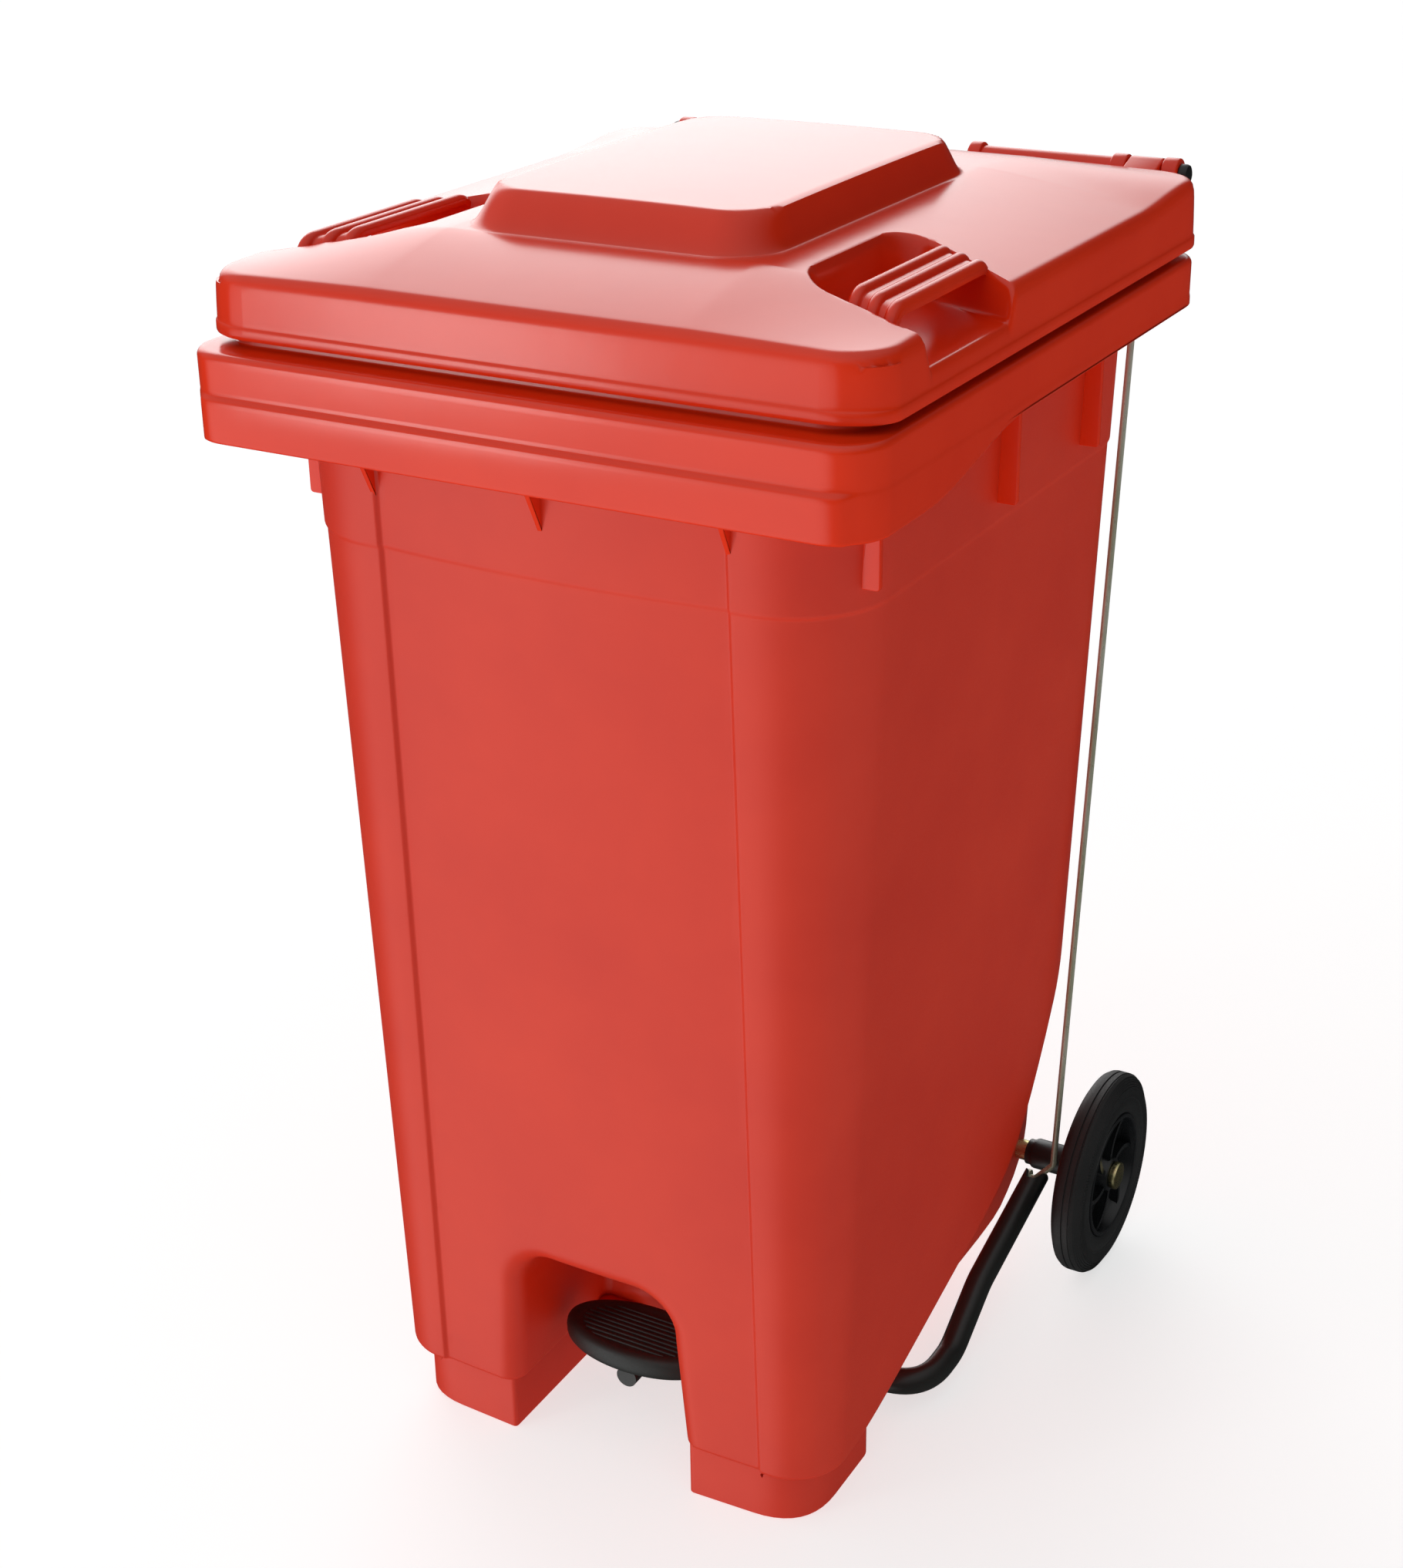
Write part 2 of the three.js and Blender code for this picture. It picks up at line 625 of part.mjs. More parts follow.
// Oval tread with a rounded rim, fine ribs across its top and two screw holes below.
function makePad() {
  const levels = [[0, 6], [3, 1.5], [9, 0], [17, 0], [20, 2], [PAD_THICKNESS - 1, 6]];
  const body = loft(levels.map(([height, inset]) => ({
    z: PAD_UNDER + height,
    points: arc(0, 0, 1, 0, 2 * Math.PI * (47 / 48), 47)
      .map(([x, y]) => [x * (PAD_HALF - inset), PAD_Y + y * (PAD_DEPTH - inset)]),
  })));
  const ribs = [];
  for (let i = -4; i <= 4; i += 1) {
    const reach = 54 * Math.sqrt(1 - (i / 5.4) ** 2);
    const y = PAD_Y + i * 6;
    ribs.push(box([-reach, reach], [y - 1.2, y + 1.2], [PAD_UNDER + PAD_THICKNESS - 2, PAD_UNDER + PAD_THICKNESS]));
  }
  const holes = padScrewSpots().map(([x, y]) => rodZ(2.8, x, y, [PAD_UNDER - 1, PAD_UNDER + 11], 12));
  return join(body, ...ribs).subtract(join(...holes));
}

function makePadScrew([x, y]) {
  const shank = rodZ(2.5, x, y, [PAD_UNDER - 5, PAD_UNDER + 10], 12);
  return shank.add(rodZ(4.5, x, y, [PAD_UNDER - 7, PAD_UNDER - 4 - GAP], 6));
}

function pivotBoltSpots() {
  return [-1, 1].flatMap((side) => [-26, 26].map((dy) => [side * BRACKET_X, PIVOT_Y + dy]));
}

// Bearing block and the steel strap that holds it up under the floor.
function makePivotBush() {
  const top = FLOOR_UNDER - GAP;
  const x = [BRACKET_X - 12, BRACKET_X + 12];
  const block = box(x, [PIVOT_Y - 15, PIVOT_Y + 15], [PIVOT_Z, top]).add(rodX(15, x, PIVOT_Y, PIVOT_Z));
  return block.subtract(rodX(TUBE_RADIUS + GAP, [x[0] - 1, x[1] + 1], PIVOT_Y, PIVOT_Z, 32));
}

function makePivotStrap() {
  const top = FLOOR_UNDER - GAP;
  const x = [BRACKET_X - 11, BRACKET_X + 11];
  const outer = box(x, [PIVOT_Y - 17.8, PIVOT_Y + 17.8], [PIVOT_Z, top]).add(rodX(17.8, x, PIVOT_Y, PIVOT_Z));
  const wide = [x[0] - 1, x[1] + 1];
  const inner = box(wide, [PIVOT_Y - 15.3, PIVOT_Y + 15.3], [PIVOT_Z, top + 1])
    .add(rodX(15.3, wide, PIVOT_Y, PIVOT_Z));
  const flange = box(x, [PIVOT_Y - 36, PIVOT_Y + 36], [top - 2.5, top]);
  const holes = [-26, 26].map((dy) => rodZ(3.6, BRACKET_X, PIVOT_Y + dy, [top - 4, top + 1], 14));
  return outer.add(flange).subtract(inner).subtract(join(...holes));
}

function makePivotBolt([x, y]) {
  const seat = FLOOR_UNDER - GAP - 2.5;
  const shank = rodZ(3.2, x, y, [seat - 2, FLOOR_UNDER + 13], 14);
  return shank.add(rodZ(6, x, y, [seat - 5, seat - GAP], 6));
}

// Flanged nut on the floor inside the bin.
function makePivotNut([x, y]) {
  const seat = FLOOR_UNDER + WALL + GAP;
  const washer = rodZ(8, x, y, [seat, seat + 1.4], 20);
  const nut = rodZ(5.8, x, y, [seat + 1, seat + 6], 6);
  return washer.add(nut).subtract(rodZ(3.6, x, y, [seat - 1, seat + 8], 14));
}

function makeLiftRod() {
  const [x, y, z] = ROD_TOP;
  const path = bentPath([
    [LEVER_X - 11, ROD_END_Y, ROD_END_Z],
    [LEVER_X + 13, ROD_END_Y, ROD_END_Z, 4],
    [LEVER_X + 16.4, ROD_END_Y + 3.4, ROD_END_Z + 18, 12],
    [x, y, z, 12],
    [x, ROD_TIP_Y, z],
  ]);
  return sweep(ROD_RADIUS, path, 12);
}

// Round-nosed plastic cap on the rod's upper end, which pushes on the lid's channel.
function makeRodTip() {
  const [x, , z] = ROD_TOP;
  const cap = new THREE.CapsuleGeometry(TIP_RADIUS, 9, 5, 16);
  cap.translate(x, ROD_TIP_Y - 4.5, z);
  const bore = new THREE.CylinderGeometry(ROD_RADIUS + GAP, ROD_RADIUS + GAP, 20, 16);
  bore.translate(x, ROD_TIP_Y - 10 + GAP, z);
  return solid(cap).subtract(solid(bore));
}

// Spring clip that keeps the rod's hooked end in the lever.
function makeRodClip() {
  const x = [LEVER_X - 8.5, LEVER_X - 5 - GAP];
  const hole = rodX(ROD_RADIUS + GAP, [x[0] - 1, x[1] + 1], ROD_END_Y, ROD_END_Z, 16);
  return rodX(7, x, ROD_END_Y, ROD_END_Z, 20).subtract(hole);
}

// Slotted grommet in the collar that guides the rod.
function makeRodGuide() {
  const under = COLLAR_TOP - FLANGE - GAP - 3;
  const body = planSlab(slotShape(GUIDE_LIP), [under, COLLAR_TOP + 0.5], 8);
  const flange = planSlab(slotShape(GUIDE_LIP + 1.5), [under, under + 3], 8);
  const slot = planSlab(slotShape(0), [under - 1, COLLAR_TOP + 2], 8);
  return body.add(flange).subtract(slot);
}

function channelScrewSpots() {
  return [-13.7, 13.7].map((dx) => [ROD_TOP[0] + dx, ROD_TIP_Y - 2]);
}

// Hat-shaped channel screwed under the lid: the rod's tip pushes up inside it.
function makeLidChannel() {
  const [x, , z] = ROD_TOP;
  const y = CHANNEL_Y;
  const web = box([x - 18.5, x + 18.5], y, [CHANNEL_ROOF, CHANNEL_ROOF + 2]);
  const cheeks = [x - 8, x + 8].map((cx) => box([cx - 1, cx + 1], y, [z - 8, CHANNEL_ROOF + 1]));
  const holes = channelScrewSpots().map(([sx, sy]) => rodZ(2.8, sx, sy, [CHANNEL_ROOF - 1, CHANNEL_ROOF + 3], 12));
  return join(web, ...cheeks).subtract(join(...holes));
}

function makeChannelScrew([x, y]) {
  const shank = rodZ(2.5, x, y, [CHANNEL_ROOF - 2, CHANNEL_ROOF + 9], 12);
  return shank.add(rodZ(4, x, y, [CHANNEL_ROOF - 3, CHANNEL_ROOF - GAP], 12));
}

// ---- assembly ----

const bin = new THREE.Group();

// The frame's origin is the middle of the whole object's footprint.
const FRONT_MOST = COLLAR_FRONT - BAND;
const REAR_MOST = HINGE_Y + LUG_RADIUS;
bin.position.y = -(FRONT_MOST + REAR_MOST) / 2;

function add(name, shape, finish) {
  const source = shape.getMesh();
  const geometry = new THREE.BufferGeometry();
  geometry.setAttribute('position', new THREE.BufferAttribute(source.vertProperties, 3));
  geometry.setIndex(new THREE.BufferAttribute(source.triVerts, 1));
  geometry.computeVertexNormals();
  const mesh = new THREE.Mesh(geometry, new THREE.MeshStandardMaterial(finish));
  mesh.name = name;
  bin.add(mesh);
}

function addPair(name, shape, finish) {
  add(`right_${name}`, shape, finish);
  add(`left_${name}`, mirrored(shape), finish);
}

add('bin_body', makeBin(), RED);
add('lid', makeLid(), RED);
addPair('hinge_pin', makeHingePin(), BLACK_PLASTIC);
add('axle', makeAxle(), YELLOW_ZINC);
addPair('tyre', makeTyre(), RUBBER);
addPair('wheel_hub', makeHub(), BLACK_PLASTIC);
addPair('axle_sleeve', makeSleeve(), BLACK_PLASTIC);
addPair('axle_cap', makeAxleCap(), YELLOW_ZINC);
add('pedal_lever', makeLever(), BLACK_COAT);
add('pedal_arm', makePedalArm(), BLACK_COAT);
add('pedal_pad', makePad(), RUBBER);
padScrewSpots().forEach((spot, i) => add(`pad_screw_${i + 1}`, makePadScrew(spot), ZINC));
addPair('pivot_bush', makePivotBush(), BLACK_PLASTIC);
addPair('pivot_strap', makePivotStrap(), ZINC);
pivotBoltSpots().forEach((spot, i) => {
  add(`pivot_bolt_${i + 1}`, makePivotBolt(spot), ZINC);
  add(`pivot_nut_${i + 1}`, makePivotNut(spot), ZINC);
});
add('lift_rod', makeLiftRod(), ZINC);
add('rod_tip', makeRodTip(), BLACK_PLASTIC);
add('rod_clip', makeRodClip(), ZINC);
add('rod_guide', makeRodGuide(), BLACK_PLASTIC);
add('lid_channel', makeLidChannel(), ZINC);
channelScrewSpots().forEach((spot, i) => add(`channel_screw_${i + 1}`, makeChannelScrew(spot), ZINC));

export default bin;
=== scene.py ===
"""Looks of a two-wheeled pedal bin: moulded shells, wheels, pedal, lever and wire rod over the CAD frame.

Sizes are millimetres in the bin's own drawing: x to its right, y to its back, z up from the floor.
sit() turns them into the frame's metres.
"""

import json
import math

import bmesh
import bpy
import numpy as np
from mathutils import Matrix, Vector


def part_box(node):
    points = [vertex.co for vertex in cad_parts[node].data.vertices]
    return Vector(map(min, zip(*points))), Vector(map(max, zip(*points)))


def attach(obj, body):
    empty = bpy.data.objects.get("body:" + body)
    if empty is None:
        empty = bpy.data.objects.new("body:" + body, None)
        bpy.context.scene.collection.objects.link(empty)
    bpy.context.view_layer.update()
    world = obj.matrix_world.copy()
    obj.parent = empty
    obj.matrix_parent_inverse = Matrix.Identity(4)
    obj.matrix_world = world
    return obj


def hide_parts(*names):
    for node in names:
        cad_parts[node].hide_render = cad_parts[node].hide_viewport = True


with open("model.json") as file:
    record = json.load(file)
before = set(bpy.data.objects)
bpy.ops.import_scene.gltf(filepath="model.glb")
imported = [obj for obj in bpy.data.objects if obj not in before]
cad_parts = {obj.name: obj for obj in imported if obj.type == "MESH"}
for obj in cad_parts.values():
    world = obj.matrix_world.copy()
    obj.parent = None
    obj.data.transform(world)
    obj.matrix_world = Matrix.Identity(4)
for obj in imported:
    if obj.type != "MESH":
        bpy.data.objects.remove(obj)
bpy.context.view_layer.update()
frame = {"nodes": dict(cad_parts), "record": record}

MM = 0.001
TURN = 2 * math.pi

# ---- where the drawing sits in the frame ----

AXLE_LOW, AXLE_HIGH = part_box("axle")
AXLE_Y, AXLE_Z = 250.0, 100.0
SET_BACK = AXLE_Y - (AXLE_LOW.y + AXLE_HIGH.y) / 2 / MM
HINGE_Y, HINGE_Z = 365.0, 1045.0


def sit(points):
    """Drawing millimetres to frame metres: y less the set-back, then everything times a thousandth."""
    return (np.asarray(points, float) - (0, SET_BACK, 0)) * MM


# ---- surfaces ----

def ease(t):
    """Smooth step: 3 t squared less 2 t cubed, with t held between 0 and 1."""
    t = np.clip(t, 0, 1)
    return t * t * (3 - 2 * t)


def between(a, b, t):
    """The value a share t of the way from a to b."""
    return a + (b - a) * t


def spread(*stops):
    """Numbers through the stops: each (value, steps) is reached from the last in that many even steps."""
    runs = [np.array([stops[0][0]])]
    for (start, _), (end, steps) in zip(stops, stops[1:]):
        runs.append(np.linspace(start, end, steps + 1)[1:])
    return np.concatenate(runs).astype(float)


def quads(rows, cols, around=False, closed=False):
    """Corners of every cell of a grid stored row by row; around joins the last column to the first."""
    i, j = np.meshgrid(np.arange(rows - (not closed)), np.arange(cols - (not around)), indexing="ij")
    right, up = (j + 1) % cols, (i + 1) % rows
    return np.stack([i * cols + j, i * cols + right, up * cols + right, up * cols + j], -1).reshape(-1, 4)


def surface(name, *grids, weld=0.02, sharp=38, closed=True):
    """One mesh from grids of points (rows, columns, xyz), each with how it closes on itself."""
    points, faces, start = [], [], 0
    for grid, how in grids:
        rows, cols = grid.shape[:2]
        points.append(grid.reshape(-1, 3))
        cells = quads(rows, cols, how.get("around", False), how.get("closed", False))
        cells = cells[:, ::-1] if how.get("flip") else cells
        faces += (cells + start).tolist()
        if how.get("caps"):
            faces.append((start + np.arange(cols)[::-1]).tolist())
            faces.append((start + (rows - 1) * cols + np.arange(cols)).tolist())
        start += rows * cols
    mesh = bpy.data.meshes.new(name)
    mesh.from_pydata(sit(np.concatenate(points)).tolist(), [], faces)
    work = bmesh.new()
    work.from_mesh(mesh)
    bmesh.ops.remove_doubles(work, verts=work.verts, dist=weld * MM)
    bmesh.ops.dissolve_degenerate(work, edges=work.edges, dist=1e-7)
    if closed:
        bmesh.ops.recalc_face_normals(work, faces=work.faces)
    work.to_mesh(mesh)
    work.free()
    mesh.shade_smooth()
    mesh.set_sharp_from_angle(angle=math.radians(sharp))
    piece = bpy.data.objects.new(name, mesh)
    bpy.context.scene.collection.objects.link(piece)
    return piece


def fit(piece, body, material, slot, *nodes):
    """Gives a piece its material, its body and the CAD nodes it stands for; the slot argument is not used."""
    piece.data.materials.clear()
    piece.data.materials.append(material)
    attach(piece, body)
    if nodes:
        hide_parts(*nodes)
    return piece


def thicken(piece, thickness):
    """Gives an open skin a wall on its inner side, in millimetres."""
    shell = piece.modifiers.new("wall", "SOLIDIFY")
    shell.thickness = thickness * MM
    shell.offset = -1
    return piece


# How a grid closes on itself: round its columns, with its ends capped or joined to each other.
AROUND, CAPPED = {"around": True}, {"around": True, "caps": True}
RING = {"around": True, "closed": True}


def mirrored(grid):
    """The grid with x turned to minus x, its columns in reverse so that it faces the same way."""
    return (grid * (-1, 1, 1))[:, ::-1]


def on_side(grid, side):
    """A grid drawn on the right, or its mirror image where side is negative."""
    return grid if side > 0 else mirrored(grid)


def hand(side):
    """The word for a side."""
    return "right" if side > 0 else "left"


def inset_outline(outline, inset):
    """Moves a closed outline inwards along the bisector of each corner's two edges."""
    before = outline - np.roll(outline, 1, 0)
    after = np.roll(outline, -1, 0) - outline
    heading = before / np.linalg.norm(before, axis=1)[:, None]
    heading += after / np.linalg.norm(after, axis=1)[:, None]
    heading /= np.linalg.norm(heading, axis=1)[:, None]
    left = np.stack([-heading[:, 1], heading[:, 0]], 1)
    return outline + left * inset


def rounded_corners(points, steps=6):
    """A closed outline of (a, b, radius) corners, each turned by a curve of that setback."""
    corners = np.array([p[:2] for p in points], float)
    runs = []
    for k, (_, _, radius) in enumerate(points):
        spot, last, following = corners[k], corners[k - 1], corners[(k + 1) % len(points)]
        enter = spot + (last - spot) / np.linalg.norm(last - spot) * radius
        leave = spot + (following - spot) / np.linalg.norm(following - spot) * radius
        t = np.linspace(0, 1, steps + 1)[:, None]
        runs.append((1 - t) ** 2 * enter + 2 * t * (1 - t) * spot + t ** 2 * leave)
    return np.concatenate(runs)


def slab(outline, start, end, edge, axis):
    """A closed outline carried along an axis; its ends shrink by a quarter circle of radius edge."""
    turn = np.linspace(0, math.pi / 2, 5)
    rise, shrink = edge * (1 - np.cos(turn)), edge * (1 - np.sin(turn))
    levels = np.concatenate([start + rise, (end - rise)[::-1]])
    insets = np.concatenate([shrink, shrink[::-1]])
    rings = []
    for level, inset in zip(levels, insets):
        ring = inset_outline(outline, inset)
        rings.append(np.insert(ring, axis, level, axis=1))
    return np.stack(rings)


def turned(profile, y=AXLE_Y, z=AXLE_Z, sides=96):
    """Points (radius, x) turned about a line along x: y and z are the radius times sine and cosine."""
    profile = np.asarray(profile, float)
    angle = np.arange(sides) / sides * TURN
    radius, x = profile[:, :1], profile[:, 1:]
    return np.stack([x + 0 * angle, y + radius * np.sin(angle), z + radius * np.cos(angle)], -1)


def bar(path, radius, sides=28):
    """A round section carried along a path: each ring is square to it and turns as little as it can."""
    path = np.asarray(path, float)
    along = np.gradient(path, axis=0)
    along /= np.linalg.norm(along, axis=1)[:, None]
    across = np.empty_like(path)
    across[0] = np.cross(along[0], (0.31, 0.27, 0.91))
    for k in range(len(path)):
        held = across[max(k - 1, 0)]
        held = held - along[k] * (held @ along[k])
        across[k] = held / np.linalg.norm(held)
    third = np.cross(along, across)
    angle = (np.arange(sides) / sides * TURN)[None, :, None]
    radius = np.broadcast_to(radius, len(path))[:, None, None]
    return path[:, None] + radius * (np.cos(angle) * across[:, None] + np.sin(angle) * third[:, None])


def bent(points, steps=10):
    """Straight runs joined by bends: each middle point is x, y, z and how tight its bend is."""
    spots = np.array([p[:3] for p in points], float)
    runs, start = [spots[:1]], spots[0]
    for k in range(1, len(spots) - 1):
        before = (start - spots[k]) / np.linalg.norm(start - spots[k])
        after = (spots[k + 1] - spots[k]) / np.linalg.norm(spots[k + 1] - spots[k])
        setback = points[k][3] / math.tan(math.acos(before @ after) / 2)
        enter, leave = spots[k] + before * setback, spots[k] + after * setback
        t = np.linspace(0, 1, steps + 1)[:, None]
        runs.append(between(start, enter, np.linspace(0.25, 0.9, 3)[:, None]))
        runs.append((1 - t) ** 2 * enter + 2 * t * (1 - t) * spots[k] + t ** 2 * leave)
        start = leave
    runs.append(between(start, spots[-1], np.linspace(0.25, 1, 4)[:, None]))
    return np.concatenate(runs)


# ---- materials ----

def node_group(name, inputs, outputs):
    """A shader node group with named inputs (name, kind, value) and outputs (name, kind)."""
    group = bpy.data.node_groups.new(name, "ShaderNodeTree")
    for label, kind, value in inputs:
        socket = group.interface.new_socket(label, in_out="INPUT", socket_type=kind)
        if value is not None:
            socket.default_value = value
    for label, kind in outputs:
        group.interface.new_socket(label, in_out="OUTPUT", socket_type=kind)
    return group, group.nodes.new("NodeGroupInput"), group.nodes.new("NodeGroupOutput")


def noise(tree, vector, scale, detail=3.0, rough=0.5):
    """A noise value over the piece, from 0 to 1."""
    node = tree.nodes.new("ShaderNodeTexNoise")
    node.inputs["Detail"].default_value = detail
    node.inputs["Roughness"].default_value = rough
    tree.links.new(vector, node.inputs["Vector"])
    if isinstance(scale, (int, float)):
        node.inputs["Scale"].default_value = scale
    else:
        tree.links.new(scale, node.inputs["Scale"])
    return node.outputs["Fac"]


def math_node(tree, operation, a, b=None, clamp=False):
    """One sum on sockets or numbers."""
    node = tree.nodes.new("ShaderNodeMath")
    node.operation = operation
    node.use_clamp = clamp
    for socket, value in zip(node.inputs, (a, b)):
        if value is None:
            continue
        if isinstance(value, (int, float)):
            socket.default_value = value
        else:
            tree.links.new(value, socket)
    return node.outputs[0]


def remap(tree, value, low, high, to_low, to_high):
    """Carries a value from low..high to to_low..to_high, held at both ends."""
    node = tree.nodes.new("ShaderNodeMapRange")
    tree.links.new(value, node.inputs["Value"])
    for socket, number in zip(("From Min", "From Max"), (low, high)):
        node.inputs[socket].default_value = number
    for socket, number in (("To Min", to_low), ("To Max", to_high)):
        if isinstance(number, (int, float)):
            node.inputs[socket].default_value = number
        else:
            tree.links.new(number, node.inputs[socket])
    return node.outputs["Result"]


def mix_colour(tree, mask, a, b):
    """Colour a where the mask is 0 and colour b where it is 1."""
    node = tree.nodes.new("ShaderNodeMix")
    node.data_type = "RGBA"
    tree.links.new(mask, node.inputs[0])
    for socket, value in ((node.inputs[6], a), (node.inputs[7], b)):
        if isinstance(value, tuple):
            socket.default_value = value
        else:
            tree.links.new(value, socket)
    return node.outputs[2]


def moulded_group():
    """Moulded skin: slow ripples, a fine grain, and soft clouds that vary its colour and its gloss."""
    group, entry, result = node_group(
        "moulded skin",
        [("Vector", "NodeSocketVector", None), ("Base", "NodeSocketColor", (0.5, 0.5, 0.5, 1)),
         ("Cloud", "NodeSocketColor", (0.5, 0.5, 0.5, 1)), ("Grain Scale", "NodeSocketFloat", 900.0),
         ("Gloss Low", "NodeSocketFloat", 0.3), ("Gloss High", "NodeSocketFloat", 0.4),
         ("Ripple", "NodeSocketFloat", 1.0)],
        [("Colour", "NodeSocketColor"), ("Roughness", "NodeSocketFloat"), ("Height", "NodeSocketFloat")],
    )
    vector = entry.outputs["Vector"]
    clouds = noise(group, vector, 5.0, 4.0, 0.6)
    ripple = noise(group, vector, 26.0, 2.0, 0.4)
    grain = noise(group, vector, entry.outputs["Grain Scale"], 2.0, 0.5)
    mask = remap(group, clouds, 0.35, 0.7, 0.0, 1.0)
    colour = mix_colour(group, mask, entry.outputs["Base"], entry.outputs["Cloud"])
    speck = remap(group, grain, 0.3, 0.7, entry.outputs["Gloss Low"], entry.outputs["Gloss High"])
    fine = math_node(group, "MULTIPLY", grain, 0.06)
    slow = math_node(group, "MULTIPLY", ripple, entry.outputs["Ripple"])
    group.links.new(colour, result.inputs["Colour"])
    group.links.new(speck, result.inputs["Roughness"])
    group.links.new(math_node(group, "ADD", fine, slow), result.inputs["Height"])
    return group


def plated_group():
    """Plated steel: drawn lines along one way, blotches of the passivation and small dull spots."""
    group, entry, result = node_group(
        "plated steel",
        [("Vector", "NodeSocketVector", None), ("Bright", "NodeSocketColor", (0.7, 0.7, 0.65, 1)),
         ("Tarnish", "NodeSocketColor", (0.5, 0.45, 0.3, 1)), ("Spread", "NodeSocketFloat", 60.0)],
        [("Colour", "NodeSocketColor"), ("Roughness", "NodeSocketFloat"), ("Height", "NodeSocketFloat")],
    )
    vector = entry.outputs["Vector"]
    blotch = noise(group, vector, entry.outputs["Spread"], 4.0, 0.65)
    mask = remap(group, blotch, 0.42, 0.62, 0.0, 1.0)
    colour = mix_colour(group, mask, entry.outputs["Bright"], entry.outputs["Tarnish"])
    group.links.new(colour, result.inputs["Colour"])
    lines = noise(group, vector, 700.0, 2.0, 0.5)
    group.links.new(remap(group, lines, 0.3, 0.7, 0.24, 0.42), result.inputs["Roughness"])
    group.links.new(lines, result.inputs["Height"])
    return group


def surface_material(name, group, values, bump, metallic=0.0, mapping=None):
    """A Principled surface fed by one of the shared groups; steady numbers stay on its own sockets."""
    material = bpy.data.materials.new(name)
    material.use_nodes = True
    tree = material.node_tree
    shader = tree.nodes["Principled BSDF"]
    place = tree.nodes.new("ShaderNodeTexCoord")
    use = tree.nodes.new("ShaderNodeGroup")
    use.node_tree = group
    vector = place.outputs["Object"]
    if mapping:
        turn = tree.nodes.new("ShaderNodeMapping")
        turn.inputs["Scale"].default_value = mapping
        tree.links.new(vector, turn.inputs["Vector"])
        vector = turn.outputs["Vector"]
    tree.links.new(vector, use.inputs["Vector"])
    for label, value in values.items():
        use.inputs[label].default_value = value
    relief = tree.nodes.new("ShaderNodeBump")
    relief.inputs["Distance"].default_value = 0.001
    relief.inputs["Strength"].default_value = bump
    tree.links.new(use.outputs["Height"], relief.inputs["Height"])
    tree.links.new(use.outputs["Colour"], shader.inputs["Base Color"])
    tree.links.new(use.outputs["Roughness"], shader.inputs["Roughness"])
    tree.links.new(relief.outputs["Normal"], shader.inputs["Normal"])
    shader.inputs["Metallic"].default_value = metallic
    return material


MOULDED, PLATED = moulded_group(), plated_group()


def moulded(name, base, cloud, grain, gloss, ripple, bump):
    """A moulded surface: its two colours, fineness of grain, lowest and highest roughness, and relief."""
    values = {"Base": (*base, 1), "Cloud": (*cloud, 1), "Grain Scale": grain, "Gloss Low": gloss[0],
              "Gloss High": gloss[1], "Ripple": ripple}
    return surface_material(name, MOULDED, values, bump)


RED = moulded("red moulding", (0.80, 0.030, 0.004), (0.86, 0.038, 0.006), 1400.0, (0.15, 0.22), 0.9, 0.14)
RED_SATIN = moulded("red satin moulding", (0.72, 0.026, 0.004), (0.79, 0.036, 0.007),
                    1100.0, (0.36, 0.44), 0.6, 0.14)
BLACK_GLOSS = moulded("black gloss moulding", (0.008, 0.009, 0.010), (0.014, 0.016, 0.016),
                      1500.0, (0.18, 0.28), 0.5, 0.1)
BLACK = moulded("black moulding", (0.010, 0.011, 0.011), (0.020, 0.022, 0.021),
                1200.0, (0.30, 0.46), 0.5, 0.15)
COATED = moulded("black coating", (0.012, 0.013, 0.012), (0.022, 0.024, 0.022), 700.0, (0.28, 0.40), 0.6, 0.2)
TREAD = moulded("tread rubber", (0.012, 0.014, 0.013), (0.024, 0.027, 0.024), 900.0, (0.42, 0.58), 0.4, 0.25)
TYRE = moulded("tyre rubber", (0.014, 0.015, 0.015), (0.030, 0.031, 0.031), 800.0, (0.50, 0.70), 0.4, 0.3)
ZINC = surface_material(
    "zinc plating", PLATED,
    {"Bright": (0.62, 0.66, 0.54, 1), "Tarnish": (0.42, 0.45, 0.30, 1), "Spread": 40.0},
    bump=0.05, metallic=0.45, mapping=(1, 1, 0.15))
YELLOW = surface_material(
    "yellow zinc plating", PLATED,
    {"Bright": (0.80, 0.68, 0.36, 1), "Tarnish": (0.58, 0.56, 0.28, 1), "Spread": 70.0},
    bump=0.05, metallic=1.0, mapping=(0.2, 1, 1))

# ---- the lid ----

LID_HALF, LID_FRONT, LID_REAR, LID_CORNER = 288.0, -308.0, 334.0, 46.0
LID_UNDER, LID_RIM, CROWN, DOME_TOP = 1000.0, 1047.0, 1072.0, 1102.0
LID_THICKNESS = 3.6
POCKET_INNER, POCKET_FLOOR, POCKET_ROUND = 164.0, 1022.5, 40.0


def inside_rounded(x, y, half, front, rear, radius):
    """How far a point is inside a rounded rectangle: the radius less the distance to the inner core."""
    over_x = np.abs(x) - (half - radius)
    over_y = np.abs(y - (front + rear) / 2) - ((rear - front) / 2 - radius)
    outside = np.hypot(np.maximum(over_x, 0), np.maximum(over_y, 0))
    return radius - outside - np.minimum(np.maximum(over_x, over_y), 0)


def pocket_front(x):
    """The pocket's front edge: a slanted line that bends forwards towards the lid's side."""
    return -203 - 0.26 * (x - 170) - 2.8 * ease((x - 200) / 90)


def pocket_rear(x):
    """The pocket's rear edge: a steeper slanted line."""
    return -24 - 0.48 * (x - 170)


